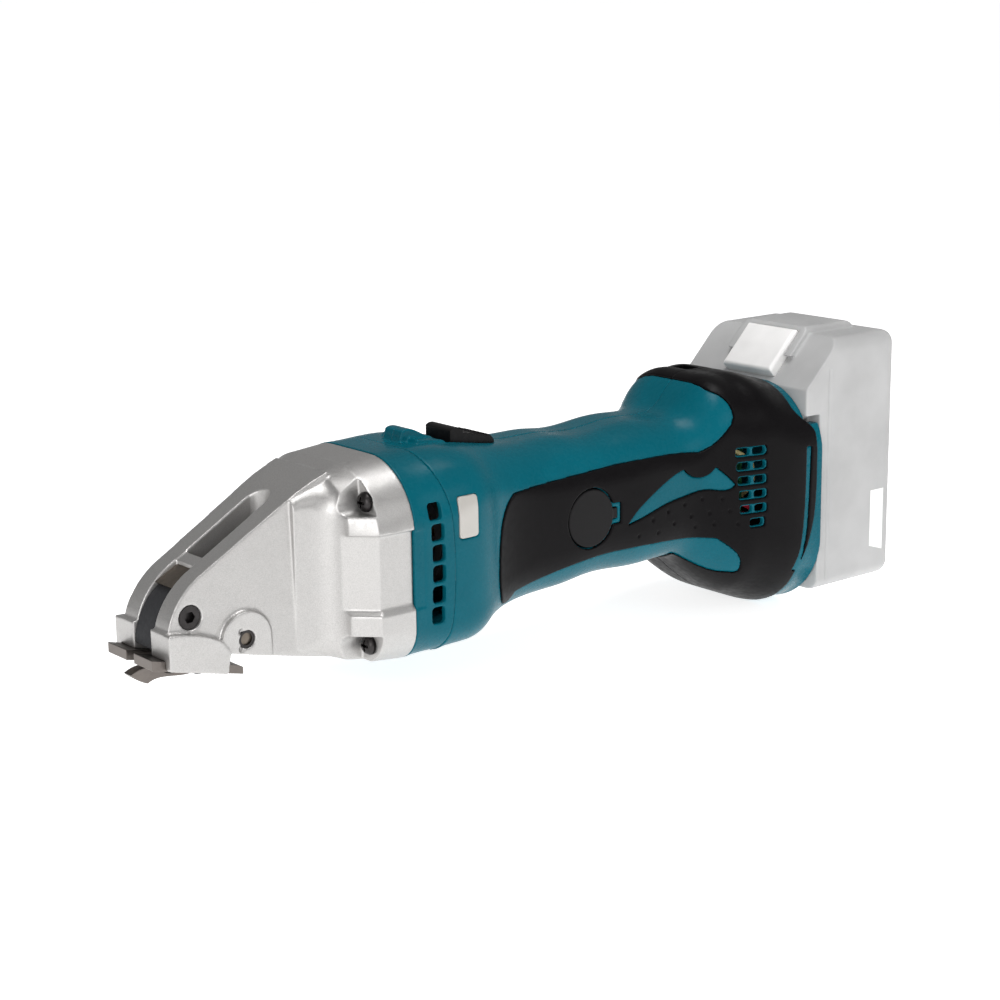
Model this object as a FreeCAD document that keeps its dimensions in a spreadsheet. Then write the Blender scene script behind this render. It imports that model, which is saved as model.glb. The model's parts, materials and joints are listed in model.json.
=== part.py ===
"""Cordless three-blade metal shear with its slide-on battery pack, as separate pieces.

Millimetres. X runs along the tool: the blades are at -X and the battery pack at +X. Y is the
tool's left (-Y) to right (+Y), and Z is up. The design is drawn about the motor's axis (y = 0,
z = 0) and each sub-part's Placement then moves it by the shift, which puts the origin under
the middle of the whole tool, on the plane that its lowest point touches.
"""
import FreeCAD, Part
import math
import os
import re

import Sketcher

os.makedirs("parts", exist_ok=True)
doc = FreeCAD.newDocument("metal_shear")

SIZES = {
    # whole tool
    "shift_x": -12.15, "shift_z": 61.9,
    # plastic housing
    "wall": 2.6, "skin_proud": 0.7, "skin_deep": 1.5, "seam_x": -74.4,
    "ring_arc": 163.0, "ring_back": -54.9, "ring_mid": -4.0,
    # receiver for the battery pack
    "receiver_x": 143.0, "receiver_half": 32.2, "receiver_low": -46.0,
    "shoulder_z": 23.0, "tongue_half": 29.2, "tongue_front": 146.8, "tongue_back": 150.2,
    # die-cast gear housing
    "cast_wall": 4.2, "slot_half": 6.0, "slot_end": -120.0,
    "pad_face": 19.0, "foot_face": 19.4, "web_front": -92.5, "web_back": -85.5,
    "screw_y": 30.6, "screw_up": 25.0, "screw_low": -31.0,
    "screw_seat": -90.0, "screw_pocket": 4.8, "case_screw": 2.5, "band_top": 13.0,
    "band_low": -16.3, "band_deep": 1.9,
    # blades and their linkage
    "pivot_x": -137.5, "pivot_z": -22.0, "pin_rad": 3.5, "pin_half": 17.3, "run_gap": 0.03,
    "blade_gap": 2.7, "blade_out": 16.0, "center_half": 2.5, "lever_half": 5.4,
    "bolt_x": -159.7, "bolt_z": -10.0, "bolt_rad": 2.5, "bolt_head": 4.4, "bolt_seat": 11.6,
    "crank_z": -14.0, "throw": 2.6, "roller_rad": 6.0,
    # gears: tooth size, numbers of teeth
    "tooth": 0.7, "pinion_teeth": 7.0, "gear_teeth": 33.0, "gear_x": -84.0, "gear_wide": 5.0,
    # motor
    "shaft_rad": 2.5, "shaft_back": 41.0, "core_rad": 15.5,
    "core_front": -45.0, "core_back": 8.0, "yoke_rad": 24.4, "yoke_in": 20.4,
    "magnet_in": 16.4, "yoke_front": -50.0, "yoke_back": 14.0, "comm_x": 17.0,
    "comm_rad": 10.0, "comm_long": 15.0, "fan_x": -66.0, "fan_rad": 30.0, "fan_wide": 9.0,
    "bearing_rad": 8.0, "bearing_wide": 5.0, "brush_x": 24.6, "brush_z": -1.0,
    "cap_rad": 12.2, "cap_out": 29.1,
    # switch
    "knob_half": 8.0, "knob_floor": 31.9, "rod_low": 25.5, "rod_high": 27.2,
    # battery pack
    "pack_front": 152.2, "pack_back": 202.5, "pack_half": 37.7, "pack_low": -54.5,
    "pack_top": 59.0, "deck_half": 31.7, "deck_x": 143.3, "deck_low": -44.0,
    "lip_low": 26.5, "pack_wall": 2.4, "pack_round": 6.0,
    "cell_rad": 9.2, "cell_long": 65.0, "cell_pitch": 19.0, "button_half": 14.8,
    "button_long": 23.8, "button_sunk": 2.5, "button_proud": 4.4, "well_deep": 8.0,
}

# Stations of the housing's outer surface from the gear housing to the battery pack:
# x, half width, top, bottom, radius of the top corners, radius of the bottom corners.
BODY = [
    (-74.4, 40.0, 38.6, -40.5, 28, 15),
    (-56.0, 39.8, 38.6, -40.2, 26, 15),
    (-43.0, 39.4, 37.7, -39.8, 23, 15),
    (-34.0, 36.6, 36.4, -38.7, 22, 16),
    (-24.0, 32.2, 34.7, -36.2, 21, 18),
    (-12.0, 29.7, 32.8, -34.3, 20, 20),
    (2.0, 29.0, 31.6, -33.0, 21, 21),
    (25.0, 28.8, 31.0, -31.3, 21, 21),
    (50.0, 28.8, 31.2, -30.6, 21, 21),
    (72.0, 28.9, 31.7, -30.5, 21, 21),
    (84.0, 29.3, 32.4, -31.0, 21, 21),
    (90.0, 30.3, 36.6, -34.5, 22, 22),
    (96.0, 32.0, 42.9, -39.6, 23, 24),
    (104.0, 34.7, 46.4, -45.8, 25, 27),
    (115.0, 37.8, 46.0, -52.5, 27, 31),
    (130.0, 40.0, 42.9, -58.6, 28, 33),
    (143.0, 40.5, 40.0, -61.2, 29, 34),
    (151.5, 40.5, 38.2, -61.9, 29, 34),
]
for row, station in enumerate(BODY):
    for word, value in zip(("x", "half", "top", "low", "round", "belly"), station):
        SIZES["body_%s_%s" % (chr(97 + row), word)] = float(value)

sheet = doc.addObject("Spreadsheet::Sheet", "dims")
for row, (alias, value) in enumerate(SIZES.items(), start=1):
    sheet.set("A%d" % row, alias)
    sheet.set("B%d" % row, str(value))
    sheet.setAlias("B%d" % row, alias)
doc.recompute()

WORD = re.compile(r"[a-z_]+")
AXES = {
    "X": FreeCAD.Rotation(FreeCAD.Vector(0, 1, 0), 90),
    "Y": FreeCAD.Rotation(FreeCAD.Vector(1, 0, 0), -90),
    "Z": FreeCAD.Rotation(),
}
PLANES = {
    "XZ": FreeCAD.Rotation(FreeCAD.Vector(1, 0, 0), 90),
    "YZ": FreeCAD.Rotation(FreeCAD.Vector(1, 1, 1), 120),
    "XY": FreeCAD.Rotation(),
}
NORMALS = {
    "XZ": FreeCAD.Vector(0, 1, 0),
    "YZ": FreeCAD.Vector(1, 0, 0),
    "XY": FreeCAD.Vector(0, 0, 1),
}
subparts = []
corners = {}


# ---------------------------------------------------------------- helpers

def size(alias):
    """The number in the sheet's cell of that name."""
    return float(sheet.get(alias))


def formula(text):
    """The expression with each of the sheet's words written as a reference to its cell."""
    return WORD.sub(lambda m: "dims." + m.group() if m.group() in SIZES else m.group(), str(text))


def bind(obj, **values):
    for prop, value in values.items():
        obj.setExpression(prop, formula(value))


def place(obj, x=0, y=0, z=0):
    """Bind the object's position, and remember it for the shift of a finished sub-part."""
    corners[obj.Name] = (x, y, z)
    for axis, value in zip("xyz", (x, y, z)):
        obj.setExpression(".Placement.Base." + axis, formula(value))


def finish(obj, node):
    """Name a finished sub-part and shift it into the tool's own frame."""
    x, y, z = corners.get(obj.Name, (0, 0, 0))
    place(obj, "(%s) + shift_x" % x, y, "(%s) + shift_z" % z)
    obj.Label = node
    subparts.append(obj)


def box(name, low, high):
    """A box between two corners, each given as three numbers or formulas."""
    obj = doc.addObject("Part::Box", name)
    for prop, one, two in zip(("Length", "Width", "Height"), low, high):
        obj.setExpression(prop, formula("(%s) - (%s)" % (two, one)))
    place(obj, *low)
    return obj


def cylinder(name, start, radius, length, axis="Z"):
    obj = doc.addObject("Part::Cylinder", name)
    obj.Placement = FreeCAD.Placement(FreeCAD.Vector(), AXES[axis])
    bind(obj, Radius=radius, Height=length)
    place(obj, *start)
    return obj


def cone(name, start, radius_a, radius_b, length, axis="Z"):
    obj = doc.addObject("Part::Cone", name)
    obj.Placement = FreeCAD.Placement(FreeCAD.Vector(), AXES[axis])
    bind(obj, Radius1=radius_a, Radius2=radius_b, Height=length)
    place(obj, *start)
    return obj


def fuse(name, *pieces):
    obj = doc.addObject("Part::MultiFuse", name)
    obj.Shapes = list(pieces)
    return obj


def cut(name, base, *tools):
    obj = doc.addObject("Part::Cut", name)
    obj.Base = base
    obj.Tool = tools[0] if len(tools) == 1 else fuse(name + "_tools", *tools)
    return obj


def common(name, base, tool):
    obj = doc.addObject("Part::Common", name)
    obj.Base = base
    obj.Tool = tool
    return obj


def group(name, *pieces):
    obj = doc.addObject("Part::Compound", name)
    obj.Links = list(pieces)
    return obj


def mirror(name, source):
    """The same piece on the other side of the tool's middle plane."""
    obj = doc.addObject("Part::Mirroring", name)
    obj.Source = source
    obj.Normal = FreeCAD.Vector(0, 1, 0)
    return obj


def outline(name, plane, runs):
    """A closed sketch. Each run is a list of points: two make a line, more make a smooth curve."""
    sketch = doc.addObject("Sketcher::SketchObject", name)
    sketch.Placement = FreeCAD.Placement(FreeCAD.Vector(), PLANES[plane])
    start = None
    last = None
    for run in runs:
        points = [FreeCAD.Vector(u, v, 0) for u, v in run]
        start = start or points[0]
        if last and not last.isEqual(points[0], 1e-6):
            sketch.addGeometry(Part.LineSegment(last, points[0]))
        if len(points) > 2:
            curve = Part.BSplineCurve()
            curve.interpolate(points)
            sketch.addGeometry(curve)
        elif len(points) == 2:
            sketch.addGeometry(Part.LineSegment(*points))
        last = points[-1]
    if not last.isEqual(start, 1e-6):
        sketch.addGeometry(Part.LineSegment(last, start))
    return sketch


def polygon(points):
    """Runs for an outline of straight lines only."""
    return [[one, two] for one, two in zip(points, points[1:])]


def prism(name, plane, runs, low, high):
    """An outline made solid between two distances along its plane's normal."""
    sketch = outline(name + "_outline", plane, runs)
    axis = "xyz"[list(NORMALS[plane]).index(1)]
    place(sketch, **{axis: low})
    obj = doc.addObject("Part::Extrusion", name)
    obj.Base = sketch
    obj.DirMode = "Custom"
    obj.Dir = NORMALS[plane]
    obj.Solid = True
    obj.setExpression("LengthFwd", formula("(%s) - (%s)" % (high, low)))
    return obj


def lathe(name, points, axis_z=0):
    """A turned piece: (x, radius) points revolved about a line along X at height axis_z."""
    sketch = outline(name + "_outline", "XZ", polygon(points))
    place(sketch, z=axis_z)
    obj = doc.addObject("Part::Revolution", name)
    obj.Source = sketch
    obj.Axis = FreeCAD.Vector(1, 0, 0)
    obj.setExpression(".Base.z", formula(axis_z))
    obj.Angle = 360
    obj.Solid = True
    return obj


def ring(name, start, outer, inner, length, axis="X"):
    """A plain tube, as a bearing or bush."""
    return cut(name, cylinder(name + "_body", start, outer, length, axis),
               cylinder(name + "_bore", start, inner, length, axis))


def rounded(name, base, radius, wanted):
    """Round the edges that wanted(edge) accepts. The base is recomputed first to be read."""
    doc.recompute()
    obj = doc.addObject("Part::Fillet", name)
    obj.Base = base
    obj.Edges = [(number, radius, radius)
                 for number, edge in enumerate(base.Shape.Edges, start=1) if wanted(edge)]
    return obj


def along(edge, axis):
    """True for a straight edge that runs along the axis."""
    if edge.Curve.TypeId != "Part::GeomLine":
        return False
    return abs(abs(edge.Curve.Direction.dot(axis)) - 1) < 1e-6


def section(name, x, half, top, low, top_round, low_round):
    """A constrained rounded section across the tool, its sizes bound to the sheet."""
    sketch = doc.addObject("Sketcher::SketchObject", name)
    sketch.Placement = FreeCAD.Placement(FreeCAD.Vector(), PLANES["YZ"])
    wide, up, down, r_up, r_down = [doc_value(text) for text in (half, top, low, top_round, low_round)]
    centres = [(-1, down + r_down, r_down, 2), (1, down + r_down, r_down, 3),
               (1, up - r_up, r_up, 0), (-1, up - r_up, r_up, 1)]
    for side, height, radius, quarter in centres:
        circle = Part.Circle(FreeCAD.Vector(side * (wide - radius), height, 0),
                             FreeCAD.Vector(0, 0, 1), radius)
        sketch.addGeometry(Part.ArcOfCircle(circle, quarter * math.pi / 2, (quarter + 1) * math.pi / 2))
    for arc in range(4):
        one = sketch.getPoint(arc, 2)
        two = sketch.getPoint((arc + 1) % 4, 1)
        sketch.addGeometry(Part.LineSegment(one, two))
        sketch.addConstraint(Sketcher.Constraint("Tangent", arc, 2, 4 + arc, 1))
        sketch.addConstraint(Sketcher.Constraint("Tangent", 4 + arc, 2, (arc + 1) % 4, 1))
        direction = "Vertical" if arc % 2 else "Horizontal"
        sketch.addConstraint(Sketcher.Constraint(direction, 4 + arc))
    driven = [("Radius", 0, low_round), ("Radius", 1, low_round),
              ("Radius", 2, top_round), ("Radius", 3, top_round)]
    for kind, arc, text in driven:
        number = sketch.addConstraint(Sketcher.Constraint(kind, arc, doc_value(text)))
        sketch.setExpression("Constraints[%d]" % number, formula(text))
    for kind, line, text in (("DistanceX", 5, half), ("DistanceY", 6, top)):
        number = sketch.addConstraint(Sketcher.Constraint(kind, -1, 1, line, 1, doc_value(text)))
        sketch.setExpression("Constraints[%d]" % number, formula(text))
    for kind, line, text in (("DistanceX", 7, half), ("DistanceY", 4, "-(%s)" % low)):
        number = sketch.addConstraint(Sketcher.Constraint(kind, line, 1, -1, 1, doc_value(text)))
        sketch.setExpression("Constraints[%d]" % number, formula(text))
    place(sketch, x=x)
    return sketch


def doc_value(text):
    """The value that a formula of the sheet's words has now."""
    return float(sheet.evalExpression(formula(text)))


def loft(name, sections, ruled=False):
    obj = doc.addObject("Part::Loft", name)
    obj.Sections = sections
    obj.Solid = True
    obj.Ruled = ruled
    return obj


def body_loft(name, grow, first=0, last=len(BODY) - 1):
    """The housing's outer form, grown by a distance (negative for the inside)."""
    sections = []
    for row in range(first, last + 1):
        key = "body_%s_" % chr(97 + row)
        sections.append(section(
            "%s_at_%d" % (name, row), key + "x", key + "half + (%s)" % grow,
            key + "top + (%s)" % grow, key + "low - (%s)" % grow,
            key + "round + (%s)" % grow, key + "belly + (%s)" % grow))
    return loft(name, sections)


def both_sides(name, make):
    """A left piece from make(name) and its mirror image, as the two nodes name_left, name_right."""
    left = make(name + "_left")
    finish(left, name + "_left")
    right = mirror(name + "_right", left)
    right.Label = name + "_right"
    subparts.append(right)


# ---------------------------------------------------------------- plastic housing and grips

def ring_cutter(name):
    """The drum whose curved side is the seam between the vent ring and the housing."""
    start = ("ring_back - ring_arc", -60, "ring_mid")
    return cylinder(name, start, "ring_arc", 120, "Y")


def grip_outline():
    """Side view of the soft overmould, open at the rear where the receiver's rim shows."""
    return [
        [(-17.8, 16.4), (8.5, 17.6), (30.3, 18.4), (58.5, 19.0), (86.0, 17.6)],
        [(86.0, 17.6), (93.0, 20.4), (99.0, 25.4), (103.2, 31.5), (102.8, 37.5), (98.7, 41.6)],
        [(98.7, 41.6), (92.5, 60.0)],
        [(92.5, 60.0), (138.6, 60.0)],
        [(138.6, 60.0), (137.6, 34.0)],
        [(137.6, 34.0), (138.8, 28.8), (143.1, 24.7), (147.4, 19.6)],
        [(147.4, 19.6), (147.2, -8.0), (145.2, -22.3), (141.0, -34.0), (138.0, -43.6)],
        [(138.0, -43.6), (137.6, -56.2)],
        [(137.6, -56.2), (136.0, -64.0)],
        [(136.0, -64.0), (80.0, -40.0)],
        [(80.0, -40.0), (79.0, -27.5)],
        [(79.0, -27.5), (88.4, -31.7), (97.6, -37.0), (106.0, -39.0)],
        [(106.0, -39.0), (109.4, -38.4), (109.2, -35.4), (103.2, -26.9), (95.5, -21.2)],
        [(95.5, -21.2), (78.2, -19.2), (54.8, -18.1), (32.1, -18.0), (15.5, -19.3),
         (-0.7, -21.8), (-16.6, -24.4)],
        [(-16.6, -24.4), (-22.5, -28.2), (-26.4, -24.6), (-28.4, -14.0), (-27.6, -2.0),
         (-24.6, 9.0), (-17.8, 16.4)],
    ]


def wing_outline():
    """The housing's bare wing that shows through the overmould above the palm."""
    return [
        [(44.6, -7.6), (51.0, -1.6), (58.4, 3.2), (65.7, 7.3), (71.6, 10.0), (77.4, 11.6)],
        [(77.4, 11.6), (82.0, 7.9), (88.0, 7.0), (93.8, 10.8)],
        [(93.8, 10.8), (97.9, 7.4), (101.7, 3.7), (103.2, 1.8)],
        [(103.2, 1.8), (102.0, 0.7), (90.0, 1.0), (80.4, 0.1), (69.5, -1.4), (58.4, -4.3), (44.6, -7.6)],
    ]


def vent_rows():
    """Middle x, middle z and length of the six rows of air slots in the flared rear."""
    rows = [(110.2 + 0.4 * row, 15.9 - 6.37 * row, 15.4 - 0.45 * row) for row in range(5)]
    return rows + [(113.5, -15.9, 8.1)]


def round_slot(name, middle, length, tall, low, high):
    """A slot with rounded corners that runs through the side wall along Y."""
    x, z = middle
    half_x = length / 2
    half_z = tall / 2
    block = box(name + "_block", (x - half_x, low, z - half_z), (x + half_x, high, z + half_z))
    return rounded(name, block, min(1.4, half_z * 0.6),
                   lambda edge: along(edge, FreeCAD.Vector(0, 1, 0)))


def latch_notch(name):
    """The window in the rear collar that the pack's latch shows through."""
    side = polygon([(108.5, 60), (108.5, 43.2), (116.5, 42.2), (116.5, 60), (108.5, 60)])
    return prism(name, "XZ", side, 2.5, 12.5)


def build_grip_layer():
    """The overmould layer before it is split into its left and right pieces."""
    layer = cut("grip_layer", body_loft("grip_face", "skin_proud"), body_loft("grip_back", "-skin_deep"))
    patch = common("grip_patch", layer, prism("grip_shape", "XZ", grip_outline(), -60, 60))
    holes = [prism("grip_wing", "XZ", wing_outline(), -60, 60)]
    holes.append(cylinder("grip_cap_hole", ("brush_x", -60, "brush_z"), "cap_rad + 0.7", 120, "Y"))
    holes.append(box("grip_cap_slot", ("brush_x", -60, "brush_z - 4.5"), (41.2, 60, "brush_z + 4.5")))
    for row, (x, z, length) in enumerate(vent_rows()):
        holes.append(round_slot("grip_vent_%d" % row, (x, z), length, 4.4, -60, 60))
    holes.append(prism("grip_rim_slot", "XZ", polygon([
        (140.6, 14.2), (144.2, 14.0), (143.2, -10.0), (142.4, -22.0), (140.4, -34.0), (138.6, -42.0),
        (135.6, -42.0), (137.4, -34.0), (139.3, -22.0), (140.2, -10.0), (140.6, 14.2)]), -60, 60))
    holes.append(latch_notch("grip_notch"))
    return cut("grip_whole", patch, *holes)


# Where the screws between the two housing halves are: x and z.
SHELL_SCREWS = [(-47.0, -32.5), (-46.0, 31.0), (44.0, -22.5), (40.0, 21.8),
                (92.0, -26.0), (92.0, 27.0), (128.0, -46.0), (130.0, 32.0)]


def shell_bosses(name):
    """Posts between the two housing halves, one for each screw."""
    return [cylinder("%s_%d" % (name, number), (x, -45, z), 3.6, 90, "Y")
            for number, (x, z) in enumerate(SHELL_SCREWS)]


def build_housing():
    """The clamshell: a hollow form with ribs, posts, vents and the battery pack's receiver."""
    outer = body_loft("housing_form", "0")
    hollow = body_loft("housing_hollow", "-wall")
    end_wall = box("receiver_wall", ("receiver_x - 3.5", -60, -80), (160, 60, 80))
    nose_cut = ring_cutter("housing_seam")
    hollow_cut = cut("housing_hollow_cut", hollow, end_wall)
    shell = cut("housing_shell", outer, hollow_cut)
    inside = [
        box("knob_bed", (-44, -11.5, 28.6), (-5, 11.5, 45)),
        cut("yoke_cradle", box("yoke_rib", (-22, -40, -45), (-19, 40, 28)),
            cylinder("yoke_seat", (-30, 0, 0), "yoke_rad", 20, "X"),
            box("rod_way", (-30, -4.5, 20), (-10, 4.5, 28.6))),
        cut("bearing_cradle",
            box("bearing_rib", ("shaft_back - bearing_wide", -40, -45), ("shaft_back", 40, 28)),
            cylinder("bearing_seat", ("shaft_back - 9", 0, 0), "bearing_rad", 20, "X"),
            box("rod_gap", ("shaft_back - 9", -4.5, 24), ("shaft_back + 9", 4.5, 28.6))),
    ] + shell_bosses("housing_post")
    inner_works = common("housing_inside", fuse("housing_ribs", *inside), outer)
    solid = fuse("housing_solid", shell, inner_works)
    horn = build_horn()
    with_horn = fuse("housing_with_horn", solid, horn)
    body = cut("housing_body", with_horn, nose_cut, *housing_openings())
    return body


def build_horn():
    """The raised guard in front of the switch knob."""
    profile = [[(-55.6, 34.0), (-55.4, 38.8)], [(-55.4, 38.8), (-54.0, 43.0)],
               [(-54.0, 43.0), (-52.0, 43.6), (-46.0, 41.9), (-39.4, 39.0)],
               [(-39.4, 39.0), (-39.4, 34.0)]]
    guard = prism("horn_block", "XZ", profile, -5.6, 5.6)
    skirt = prism("horn_skirt", "XZ", polygon([
        (-54.0, 33.0), (-51.0, 40.0), (-38.0, 38.2), (-32.0, 33.0), (-54.0, 33.0)]), -11.4, 11.4)
    windows = [box("horn_window_%d" % side, (-58, side * 2.6 - 1.7, 39.9), (-54.6, side * 2.6 + 1.7, 42.9))
               for side in (-1, 1)]
    return cut("horn", fuse("horn_solid", guard, skirt), *windows)


def housing_openings():
    """Everything that is cut out of the housing: receiver, vents, lamp, caps, switch and screws."""
    tools = [
        box("receiver", ("receiver_x", "-receiver_half", "receiver_low"), (160, "receiver_half", 80)),
        box("shoulder", ("receiver_x", -60, "shoulder_z"), (160, 60, 80)),
        box("terminal_window", ("receiver_x - 10", -20.3, -34.3), ("receiver_x + 1", 20.3, -9.7)),
        box("knob_track", (-38.3, -8.4, "knob_floor"), (-9.0, 8.4, 50)),
        box("knob_slot", (-31.0, -4.4, 20), (-17.2, 4.4, 40)),
        cylinder("cap_hole", ("brush_x", -60, "brush_z"), "cap_rad + 0.4", 120, "Y"),
        box("cap_notch", ("brush_x", -60, "brush_z - 2.6"), (39.7, 60, "brush_z + 2.6")),
        latch_notch("latch_notch"),
    ]
    for row, (x, z, length) in enumerate(vent_rows()):
        columns = [x] if row == 5 else [x - length / 4, x + length / 4]
        for column, middle in enumerate(columns):
            wide = 6.6 if row == 5 else length / 2 - 1.2
            low, high = (-60, 60)
            tools.append(round_slot("shell_vent_%d_%d" % (row, column), (middle, z), wide, 3.2, low, high))
    tools.append(round_slot("lamp_window", (-48.0, 13.9), 9.9, 16.7, -60, 60))
    for number, (x, z) in enumerate(SHELL_SCREWS):
        tools.append(cylinder("post_bore_%d" % number, (x, -18, z), 1.6, 60, "Y"))
        tools.append(cylinder("post_sink_%d" % number, (x, 14, z), 3.1, 50, "Y"))
    return tools + at_corners("front_bore", -70, "case_screw + 0.05", 28)


def build_tongues():
    """The two rails that the battery pack's deck slides along, one on each receiver wall."""
    rails = []
    for side in (-1, 1):
        inner = "tongue_half" if side > 0 else "-receiver_half"
        outer = "receiver_half" if side > 0 else "-tongue_half"
        rails.append(box("tongue_%d" % side, ("tongue_front", inner, -32), ("tongue_back", outer, 20)))
    return rails


def at_corners(name, start, radius, length):
    """Four cylinders along X, one on each of the long screws' axes."""
    return [cylinder("%s_%d_%s" % (name, side, height), (start, "%d * screw_y" % side, height),
                     radius, length, "X")
            for side in (-1, 1) for height in ("screw_up", "screw_low")]


def corner_bores(name):
    return at_corners(name + "_corner_bore", "screw_seat", "case_screw + 0.05", 48)


def build_shells():
    grip = build_grip_layer()
    body = build_housing()
    rods = fuse("housing_corner_posts", *at_corners("housing_corner", "seam_x", 5.2, 34))
    posts = common("housing_front_posts", rods, body_loft("post_form", "0", 0, 5))
    lamp_rooms = [box("lamp_room_left", (-54.5, -60, 3.5), (-41.5, -32.2, 24.2)),
                  box("lamp_room_right", (-54.5, 32.2, 3.5), (-41.5, 60, 24.2))]
    trimmed = cut("housing_posts_cut", posts, ring_cutter("post_seam"),
                  *(lamp_rooms + corner_bores("housing")))
    whole = fuse("housing_whole", cut("housing_less_grip", body, grip), trimmed, *build_tongues())
    left_half = box("left_half", (-80, -60, -80), (160, 0, 80))
    right_half = box("right_half", (-80, 0, -80), (160, 60, 80))
    finish(common("housing_left", whole, left_half), "housing_left")
    finish(common("housing_right", whole, right_half), "housing_right")
    finish(common("grip_left", grip, left_half), "grip_left")
    finish(common("grip_right", grip, right_half), "grip_right")


def build_vent_ring():
    """The ring between the gear housing and the clamshell, with six air slots in each side."""
    outer = body_loft("ring_form", "0", 0, 3)
    inner = body_loft("ring_hollow", "-wall", 0, 3)
    shell = cut("ring_shell", outer, inner)
    rods = fuse("ring_corner_posts", *at_corners("ring_corner", "seam_x", 5.2, 34))
    posts = common("ring_posts", rods, outer)
    solid = common("ring_solid", fuse("ring_both", shell, posts), ring_cutter("ring_seam"))
    slots = []
    for row in range(6):
        z = 18.2 - 8.2 * row
        x = -62.6 - ((z + 4) / 21) ** 2
        slots.append(round_slot("ring_slot_%d" % row, (x, z), 6.0, 6.7, -60, 60))
    panels = []
    for side in (-1, 1):
        low, high = sorted((side * 39.2, side * 60.0))
        panels.append(box("ring_panel_%d" % side, (-80, low, -18.6), (-69.0, high, 12.4)))
    finish(cut("vent_ring", solid, *(slots + panels + corner_bores("ring"))), "vent_ring")


# ---------------------------------------------------------------- gear housing

def cast_profile():
    """Side view of the gear housing: crest, sloping top of the two arms, toe and underside."""
    return [
        [(-74.4, 40.0), (-88.0, 38.6), (-98.0, 35.6), (-105.0, 32.8), (-112.0, 29.6)],
        [(-112.0, 29.6), (-153.0, 5.8)],
        [(-153.0, 5.8), (-160.5, 0.6), (-166.0, -6.0), (-169.4, -14.0)],
        [(-169.4, -14.0), (-171.2, -14.2)],
        [(-171.2, -14.2), (-171.2, -27.6)],
        [(-171.2, -27.6), (-146.4, -33.6)],
        [(-146.4, -33.6), (-145.2, -26.0)],
        [(-145.2, -26.0), (-127.0, -30.6), (-104.0, -35.6), (-74.4, -40.0)],
        [(-74.4, -40.0), (-74.4, 40.0)],
    ]


def trapezoid(name, x, top_half, low_half):
    points = [(-low_half, -42.0), (low_half, -42.0), (top_half, 36.0), (-top_half, 36.0),
              (-low_half, -42.0)]
    sketch = outline(name, "YZ", polygon(points))
    place(sketch, x=x)
    return sketch


def cast_section(name, x, grow, half, top, low, top_round, low_round):
    """A section with each of its sizes grown by the same distance."""
    outward = ["%s + (%s)" % (value, grow) for value in (half, top, top_round, low_round)]
    return section(name, x, outward[0], outward[1], "%s - (%s)" % (low, grow), *outward[2:])


# The block's corners on each side, seen from above: its side face, then a facet at 45 degrees.
FACET = [(-74.4, 40.0), (-90.5, 39.8), (-99.0, 31.3)]


def cast_block(name, grow):
    """The square body behind the arms, in flat facets, grown by a distance."""
    rows = [(38.4, -40.5, 28.0, 15.0), (37.0, -38.9, 28.0, 14.5), (34.6, -37.2, 21.0, 11.0)]
    return loft(name, [cast_section("%s_at_%d" % (name, row), x, grow, half, *rows[row])
                       for row, (x, half) in enumerate(FACET)], ruled=True)


def cast_trough(name):
    """The concave sweep from the square body in to the arms."""
    rows = [(-99.0, 31.3, 34.6, -37.2, 21.0, 11.0), (-100.2, 27.4, 34.2, -37.0, 18.0, 10.0),
            (-102.8, 24.0, 33.3, -36.5, 14.0, 9.0), (-107.6, 21.0, 31.4, -35.8, 9.0, 7.0),
            (-115.5, 18.9, 27.6, -35.0, 5.0, 5.0)]
    return loft(name, [cast_section("%s_at_%d" % (name, row), values[0], 0, *values[1:])
                       for row, values in enumerate(rows)])


def band_plan(name, side, z, inset):
    """The recessed band's floor seen from above: the block's facets moved in by the inset."""
    slant = inset * math.sqrt(0.5)
    bend = FACET[1][0] + inset * math.tan(math.radians(22.5))
    points = [(-70.0, FACET[0][1] - inset), (bend, FACET[1][1] - inset),
              (-104.0 + slant, FACET[2][1] - 5.0 - slant), (-104.0 + slant, 60.0), (-70.0, 60.0),
              (-70.0, FACET[0][1] - inset)]
    sketch = outline(name, "XY", polygon([(x, side * y) for x, y in points]))
    place(sketch, z=z)
    return sketch


def side_bands():
    """The band let into each side of the block, with a chamfer along its lower edge."""
    bands = []
    for side in (-1, 1):
        levels = [("band_low - band_deep - 0.1", -0.1), ("band_low", size("band_deep")),
                  ("band_top", size("band_deep"))]
        plans = [band_plan("band_%d_at_%d" % (side, row), side, z, inset)
                 for row, (z, inset) in enumerate(levels)]
        bands.append(loft("band_%d" % side, plans, ruled=True))
    return bands


def cast_pads():
    """Raised pads on each arm's outer side: the toe that holds the blade and the pivot's arch."""
    toe = [[(-171.2, -14.2), (-164.0, -14.9), (-156.0, -16.9), (-149.2, -20.0)],
           [(-149.2, -20.0), (-145.0, -25.6)], [(-145.0, -25.6), (-146.4, -33.6)],
           [(-146.4, -33.6), (-171.2, -27.6)]]
    pads = []
    for side in (-1, 1):
        low, high = ("-foot_face", -12) if side < 0 else (12, "foot_face")
        pads.append(prism("toe_pad_%d" % side, "XZ", toe, low, high))
        low, high = ("-pad_face", -14) if side < 0 else (14, "pad_face")
        arch = cylinder("arch_%d" % side, ("pivot_x", low, "pivot_z"), 10.8,
                        "(%s) - (%s)" % (high, low), "Y")
        leg = box("arch_leg_%d" % side, ("pivot_x - 10.8", low, -36), ("pivot_x + 10.8", high, "pivot_z"))
        pads.append(common("arch_pad_%d" % side, fuse("arch_solid_%d" % side, arch, leg),
                           prism("arch_trim_%d" % side, "XZ", cast_profile(), low, high)))
    return pads


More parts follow.
